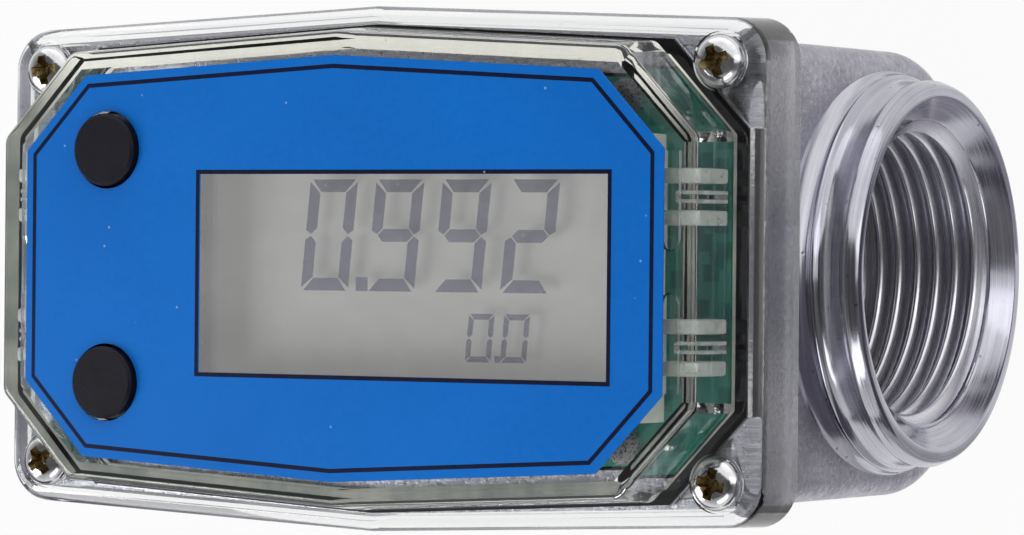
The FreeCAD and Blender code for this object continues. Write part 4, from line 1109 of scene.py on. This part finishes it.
foot_finish, tree, shader = new_finish("matt_foot_painted_glow")
cloud = pattern(tree, mottling, Size=0.005, Detail=3.0)
# painted glow: the foot emits light only on the side of positive Y, towards the bright window
painted_glow_side = rescale(tree, parts_of(tree, object_point(tree))[1], GLOW_START, GLOW_FULL)
fill(tree, shader, Roughness=0.6, Emission_Strength=1.0,
     Base_Color=blend_colour(tree, cloud, paint(118, 124, 120), paint(164, 166, 158)),
     Emission_Color=blend_colour(tree, painted_glow_side, (0, 0, 0, 1), paint(206, 204, 196)),
     Normal=bump(tree, cloud, 0.05 * MM, 0.5))
foot_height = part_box("cover_gasket")[1].z + FOOT_RISE
foot_ring = flat_ring(ten_sides(*FOOT_OUTSIDE), ten_sides(*FOOT_INSIDE), foot_height, FOOT_THICK)
finish_piece("wall_foot_painted_glow", foot_ring, [foot_finish])
print("matt foot at height", round(foot_height / MM, 2), "mm")

# %% [markdown]
# The display's digits are seven-segment figures.  A segment is a long hexagon, extruded a little
# and placed inside the display glass, well above its pale back, so that each digit throws the
# soft shadow that such displays have.

# %% Finish: liquid crystal
digit_finish, tree, shader = new_finish("liquid_crystal")
cloud = pattern(tree, mottling, Size=0.002)
fill(tree, shader, Roughness=0.5, Alpha=spread(tree, cloud, 0.46, 0.54),
     Base_Color=blend_colour(tree, cloud, paint(86, 86, 108), paint(96, 96, 116)))
print("finish", digit_finish.name)

# %% [markdown]
# The bars of a figure are named a to g as display makers name them: clockwise from the top, with
# g in the middle.  Places and sizes of a row are shares of the window.

# %% Display digits
BARS = {"0": "abcdef", "2": "abged", "9": "abcdfg"}
BAR_GAP = 0.08
CORNER_CUT = 0.3
SHOULDER_CUT = 0.6
LEAN = 0.10
POINT_SIZE = 0.55
DIGIT_RAISE = 0.03 * MM
DIGIT_LIFT = 1.2 * MM
digit_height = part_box("display_glass")[0].z + DIGIT_LIFT


def bar_outline(bar, half_wide, half_tall, thick, gap):
    """Corners of one bar of a figure, mitred where it meets its neighbours."""
    mid = thick / 2
    if bar == "g":
        tip, shoulder = half_wide - mid - gap, half_wide - thick - gap
        return [(-tip, 0), (-shoulder, mid), (shoulder, mid), (tip, 0), (shoulder, -mid),
                (-shoulder, -mid)]
    rise = 1 if bar in "abf" else -1
    if bar in "ad":
        outer, inner = half_wide - gap - mid * CORNER_CUT, half_wide - thick - gap
        return [(-outer, rise * half_tall), (outer, rise * half_tall),
                (inner, rise * (half_tall - thick)), (-inner, rise * (half_tall - thick))]
    side = 1 if bar in "bc" else -1
    return [(side * half_wide, rise * (half_tall - gap - mid * CORNER_CUT)),
            (side * (half_wide - thick), rise * (half_tall - thick - gap)),
            (side * (half_wide - thick), rise * (mid + gap)),
            (side * (half_wide - mid), rise * gap),
            (side * half_wide, rise * (mid * SHOULDER_CUT + gap))]


def draw_figure(shape, figure, middle, wide, tall, thick):
    """All bars of one figure about its middle; it leans as italics do."""
    for bar in BARS[figure]:
        corners = bar_outline(bar, wide / 2, tall / 2, thick, thick * BAR_GAP)
        shape.faces.new([shape.verts.new((middle[0] + x + LEAN * y, middle[1] + y, 0))
                         for x, y in corners])


def draw_point(shape, x, y, size):
    """A square decimal point about a place."""
    corners = bmesh.ops.create_grid(shape, x_segments=1, y_segments=1, size=size)["verts"]
    bmesh.ops.translate(shape, verts=corners, vec=(x, y, 0))


def write_figures(name, text, place, size, step, thick):
    """A row of figures; place, size and step are shares of the window; a point takes no width."""
    shape = bmesh.new()
    x, low = WINDOW_LEFT + window_wide * place[0], WINDOW_BOTTOM + window_tall * place[1]
    wide, tall = window_wide * size[0], window_tall * size[1]
    step = window_wide * step
    for figure in text:
        if figure == ".":
            draw_point(shape, x - (step - wide) / 2, low + thick * POINT_SIZE, thick * POINT_SIZE)
        else:
            draw_figure(shape, figure, (x + wide / 2, low + tall / 2), wide, tall, thick)
            x += step
    move(shape, 0, 0, digit_height)
    raised = bmesh.ops.extrude_face_region(shape, geom=shape.faces[:])
    top = [item for item in raised["geom"] if isinstance(item, bmesh.types.BMVert)]
    bmesh.ops.translate(shape, verts=top, vec=(0, 0, DIGIT_RAISE))
    face_outwards(shape)
    return finish_piece(name, shape, [digit_finish])


large = write_figures("large_figures", "0.992", (0.242, 0.420), (0.118, 0.555), 0.1635, 1.35 * MM)
small = write_figures("small_figures", "0.0", (0.642, 0.078), (0.062, 0.238), 0.085, 0.62 * MM)
print("figures:", len(large.data.polygons) + len(small.data.polygons), "faces")
